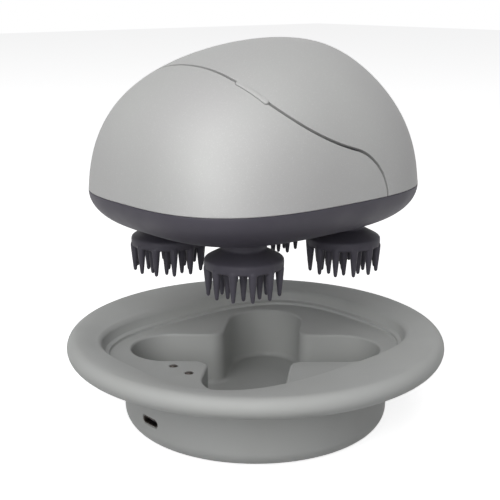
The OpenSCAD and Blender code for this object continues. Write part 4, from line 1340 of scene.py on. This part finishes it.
    def bosses(self, top: float) -> list[bpy.types.Object]:
        """Model the screw bosses, which reach a little into the deck."""
        bore, r, z, edge = self.boss_bore, self.boss_r, self.boss_z, self.boss_edge
        boss = RingForm("boss_form", 48).build(
            turned_rings([(bore, top - edge), (bore, z + edge), (bore + edge, z), (r - edge, z),
                          (r, z + edge), (r, top), (bore, top)]), loop=True)
        return copies(boss, "boss", [(x, y, 0) for x, y in self.boss_places])

    def foot_places(self) -> list[Point]:
        """Place of each foot, at equal steps round the base."""
        turns = [math.radians(45 + 90 * index) for index in range(4)]
        return [(self.foot_ring * math.cos(turn), self.foot_ring * math.sin(turn), 0) for turn in turns]

    def bowl(self) -> None:
        """Model the bowl: a turned wall with a rounded base, a port mouth, and seats for feet and screws."""
        top, base = self.deck_z - self.deck_t, self.bowl_z
        low_r, r, edge = self.bowl_r - self.bowl_taper, self.bowl_round, self.bowl_edge
        inner = r - self.bowl_t
        rings = turned_rings([(ring, base) for ring in self.base_rings])
        rings += fillet(circle(low_r), -r, base + r, r, -90, 0, 12)
        rings += [level(circle((low_r + self.bowl_r) / 2), 0, (base + r + top) / 2)]
        rings += fillet(circle(self.bowl_r), -edge, top - edge, edge, 0, 90, 3)
        rings += fillet(circle(self.bowl_r), -self.bowl_t + edge, top - edge, edge, 90, 180, 3)
        rings += fillet(circle(low_r), -self.bowl_t - inner, base + self.bowl_floor + inner, inner, 0, -90, 8)
        bowl = RingForm("dock_bowl_shell", 288).build(
            rings, start=(0, 0, base), end=(0, 0, base + self.bowl_floor))
        cut_away(bowl, self.port_form())
        sink(bowl, "seat_form", 64, shifted(self.foot_mouth, self.foot_r, base), self.foot_places())
        well_top, hole = base + self.well_depth, self.screw_hole_r
        sink(bowl, "well_form", 48,
             shifted(self.well_mouth, self.well_r, base)
             + [(self.well_r, well_top), (hole, well_top), (hole, base + self.screw_hole_end)],
             [(x, y, 0) for x, y in self.boss_places])
        smooth_by_angle(bowl, 32)
        self.place(bowl, "dock", Stuff.DOCK_ABS, "dock_grey", "dock_bowl")

    def port_ring(self, grow: float, x: float) -> RingPlace:
        """Pill ring that stands across the port's axis.

        Args:
            grow: Growth of the pill outwards.
            x: Place along X.

        Returns:
            The ring.
        """
        def place(angle: float) -> Point:
            y, z = pill_point(angle / TURN, self.port_w + 2 * grow, self.port_h + 2 * grow)
            return (x, y, z + self.port_z)
        return place

    def port_form(self) -> bpy.types.Object:
        """Form of the port's mouth in the bowl, with a soft flare outside.

        Returns:
            The cutter.
        """
        levels = shifted(self.port_mouth, 0, -self.bowl_r + self.port_face)
        return RingForm("port_form", 96).build(
            [self.port_ring(grow, x) for grow, x in levels],
            start=(levels[0][1], 0, self.port_z), end=(levels[-1][1], 0, self.port_z))

    def port(self) -> None:
        """Model the port's stamped shell and its tongue with contact strips."""
        out = -(self.bowl_r - self.bowl_t) - self.socket_out
        back = out + self.socket_depth
        levels = [(self.socket_lip[0][0], back)] + shifted(self.socket_lip, 0, out) + [(0.0, back + 1)]
        shell = RingForm("port_shell", 96).build(
            [self.port_ring(grow, x) for grow, x in levels],
            start=(back, 0, self.port_z), end=(back + 1, 0, self.port_z))
        self.place(shell, "dock", Stuff.CONTACT, "steel", "port_socket")
        front, length = out + self.tongue_in, self.socket_depth - self.tongue_in
        tongue = block("port_tongue", (front + length / 2, 0, self.port_z), (length, *self.tongue_size),
                       self.tongue_edge, 3)
        smooth_by_angle(tongue, 32)
        self.place(tongue, "dock", Stuff.CHARCOAL_ABS, "case_dark")
        middle = front + self.strip_start + self.strip_size[0] / 2
        strips = []
        for side in (-1, 1):
            for index in range(self.strip_count):
                y = (index - (self.strip_count - 1) / 2) * self.strip_pitch
                spot = (middle, y, self.port_z + side * self.strip_z)
                strips.append(block("strip", spot, self.strip_size, self.strip_edge, 2))
        contacts = join(strips, "port_contacts")
        smooth_by_angle(contacts, 32)
        self.place(contacts, "dock", Stuff.BRONZE, "gold_contact")

    def pins(self) -> None:
        """Model the two spring contact pins with domed heads."""
        foot = self.deck_z - self.deck_t - self.pin_hidden
        profile = [(self.pin_r, foot)] + shifted(self.pin_dome, self.pin_r, self.pin_top)
        pin = RingForm("pin_form", 48).build(
            turned_rings(profile), start=(0, 0, foot), end=(0, 0, self.pin_top))
        for number, y in ((1, self.pin_y), (2, -self.pin_y)):
            piece = copy_of(pin, f"charge_tip_{number}", (-self.pin_x, y, 0))
            self.place(piece, f"pin_{number}", Stuff.CONTACT, "gold_contact", f"charge_pin_{number}")
        bpy.data.objects.remove(pin)

    def feet(self) -> None:
        """Model the four rubber feet, each with a rounded edge and a shallow dish."""
        edge, middle = self.foot_edge, self.foot_r - self.foot_edge
        turns = [math.radians(degrees) for degrees in (0, 30, 60, 90)]
        rounding = [(middle + edge * math.sin(turn), edge - edge * math.cos(turn)) for turn in turns]
        profile = list(self.foot_dish) + rounding + [(self.foot_r, self.bowl_z + self.foot_sunk)]
        feet = copies(turned_form("foot_form", 64, profile), "foot", self.foot_places())
        self.place(join(feet, "foot_pads"), "dock", Stuff.RUBBER, "silicone_dark", "dock_feet")


# ---------------------------------------------------------------- inner works

@dataclass
class InnerWorks(Assembly):
    """Inner works that keep their CAD shapes and only get their finishes."""

    finishes: dict[Stuff, tuple[str, ...]] = field(default_factory=lambda: {
        Stuff.CHARCOAL_ABS: ("seam_frame", "battery_cradle") + tuple(f"head_core_{i}" for i in range(1, 5)),
        Stuff.STEEL: ("key_switch", "cover_screws", "gear_axles", "motor", "dock_screws")
        + tuple(f"spindle_{i}" for i in range(1, 5)),
        Stuff.BRONZE: ("bearings", "motor_pinion"),
        Stuff.CONTACT: ("charge_pads", "pin_sleeves"),
        Stuff.ACETAL: ("cover_plate", "reduction_gear", "centre_gear")
        + tuple(f"head_gear_{i}" for i in range(1, 5)),
        Stuff.BOARD: ("key_board", "main_board", "dock_board"),
        Stuff.SLEEVE: ("battery_cell",),
        Stuff.RUBBER: ("case_seal", "spindle_seals"),
    })

    def build(self) -> None:
        """Dress every CAD node that stays."""
        for stuff, names in self.finishes.items():
            for name in names:
                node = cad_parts[name]
                dress(node, stuff)
                self.pieces.append(node)


# ---------------------------------------------------------------- set

@dataclass
class PhotoSet:
    """Pale floor, soft studio lamps and the camera of the photograph."""

    azimuth: float = -41.0
    elevation: float = 14.45
    distance: float = 0.370
    lens: float = 73.6
    target: Point = (-0.00151, 0.00131, 0.0637)
    lamp_aim: Point = (0.0, 0.0, 0.06)
    lamps: tuple[tuple[str, Point, float, float], ...] = (
        ("key_lamp", (-1.25, -0.7, 1.0), 1.5, 19.0),
        ("front_lamp", (-1.0, -1.05, 0.12), 0.9, 4.5),
        ("top_lamp", (-0.4, -0.5, 1.4), 1.3, 5.0))

    def build(self) -> None:
        """Build the set."""
        self.floor()
        self.world()
        self.camera()
        for name, place, size, power in self.lamps:
            self.lamp(name, place, size, power)
        bpy.context.scene.view_settings.view_transform = "Standard"

    def floor(self) -> None:
        """Pale floor that looks white to the camera and keeps the shadow."""
        deselect()
        bpy.ops.mesh.primitive_plane_add(size=6)
        floor = bpy.context.active_object
        floor.name = "floor"
        made = bpy.data.materials.new("pale_paper_floor")
        made.use_nodes = True
        tree = made.node_tree
        tree.nodes.clear()
        seen = self.seen_directly(tree)
        matte = add_node(tree, "ShaderNodeBsdfDiffuse", {"Color": linear("#F4F4F4")})
        glow = add_node(tree, "ShaderNodeEmission", {"Color": linear("#FFFFFF"), "Strength": 0.8})
        both = add_node(tree, "ShaderNodeAddShader", links={0: matte.outputs[0], 1: glow.outputs[0]})
        dim = add_node(tree, "ShaderNodeBsdfDiffuse", {"Color": linear("#6A6A6C")})
        mix = add_node(tree, "ShaderNodeMixShader", links={0: seen, 1: dim.outputs[0], 2: both.outputs[0]})
        add_node(tree, "ShaderNodeOutputMaterial", links={"Surface": mix.outputs[0]})
        floor.data.materials.append(made)

    def seen_directly(self, tree: bpy.types.NodeTree) -> bpy.types.NodeSocket:
        """Socket that is 1 for what the camera sees, also by reflection or through glass.

        Args:
            tree: Node tree to which the nodes are added.

        Returns:
            The socket.
        """
        path = add_node(tree, "ShaderNodeLightPath")
        first = add_node(tree, "ShaderNodeMath", operation="ADD", use_clamp=True,
                         links={0: path.outputs["Is Camera Ray"], 1: path.outputs["Is Glossy Ray"]})
        return add_node(tree, "ShaderNodeMath", operation="ADD", use_clamp=True,
                        links={0: first.outputs[0], 1: path.outputs["Is Transmission Ray"]}).outputs[0]

    def world(self) -> None:
        """World that is white to the camera and gives a soft even fill."""
        world = bpy.data.worlds.new("studio")
        bpy.context.scene.world = world
        world.use_nodes = True
        tree = world.node_tree
        tree.nodes.clear()
        seen = self.seen_directly(tree)
        fill = add_node(tree, "ShaderNodeBackground", {"Color": linear("#F7F7FA"), "Strength": 0.1})
        white = add_node(tree, "ShaderNodeBackground", {"Color": linear("#FFFFFF"), "Strength": 1.0})
        mix = add_node(tree, "ShaderNodeMixShader", links={0: seen, 1: fill.outputs[0], 2: white.outputs[0]})
        add_node(tree, "ShaderNodeOutputWorld", links={"Surface": mix.outputs[0]})

    def camera(self) -> None:
        """Camera at the photograph's viewing angle."""
        a, e = math.radians(self.azimuth), math.radians(self.elevation)
        back = Vector((math.sin(a) * math.cos(e), -math.cos(a) * math.cos(e), math.sin(e)))
        data = bpy.data.cameras.new("camera")
        data.lens = self.lens
        data.sensor_width = 36
        camera = bpy.data.objects.new("camera", data)
        bpy.context.scene.collection.objects.link(camera)
        camera.location = Vector(self.target) + back * self.distance
        camera.rotation_euler = (-back).to_track_quat("-Z", "Y").to_euler()
        bpy.context.scene.camera = camera

    def lamp(self, name: str, place: Point, size: float, power: float) -> None:
        """Square soft lamp that faces the object.

        Args:
            name: Name of the lamp.
            place: Place in metres.
            size: Side length in metres.
            power: Power in watts.
        """
        data = bpy.data.lights.new(name, "AREA")
        data.shape = "SQUARE"
        data.size = size
        data.energy = power
        lamp = bpy.data.objects.new(name, data)
        bpy.context.scene.collection.objects.link(lamp)
        lamp.location = place
        lamp.rotation_euler = (Vector(self.lamp_aim) - Vector(place)).to_track_quat("-Z", "Y").to_euler()


def main() -> None:
    """Build the massager, its dock and the set, and report every piece."""
    logging.basicConfig(level=logging.INFO, format="%(name)s: %(message)s")
    for assembly in (Body(), Heads(), Dock(), InnerWorks()):
        assembly.build()
        assembly.report()
    PhotoSet().build()
    deselect()


if __name__ == "__main__":
    main()
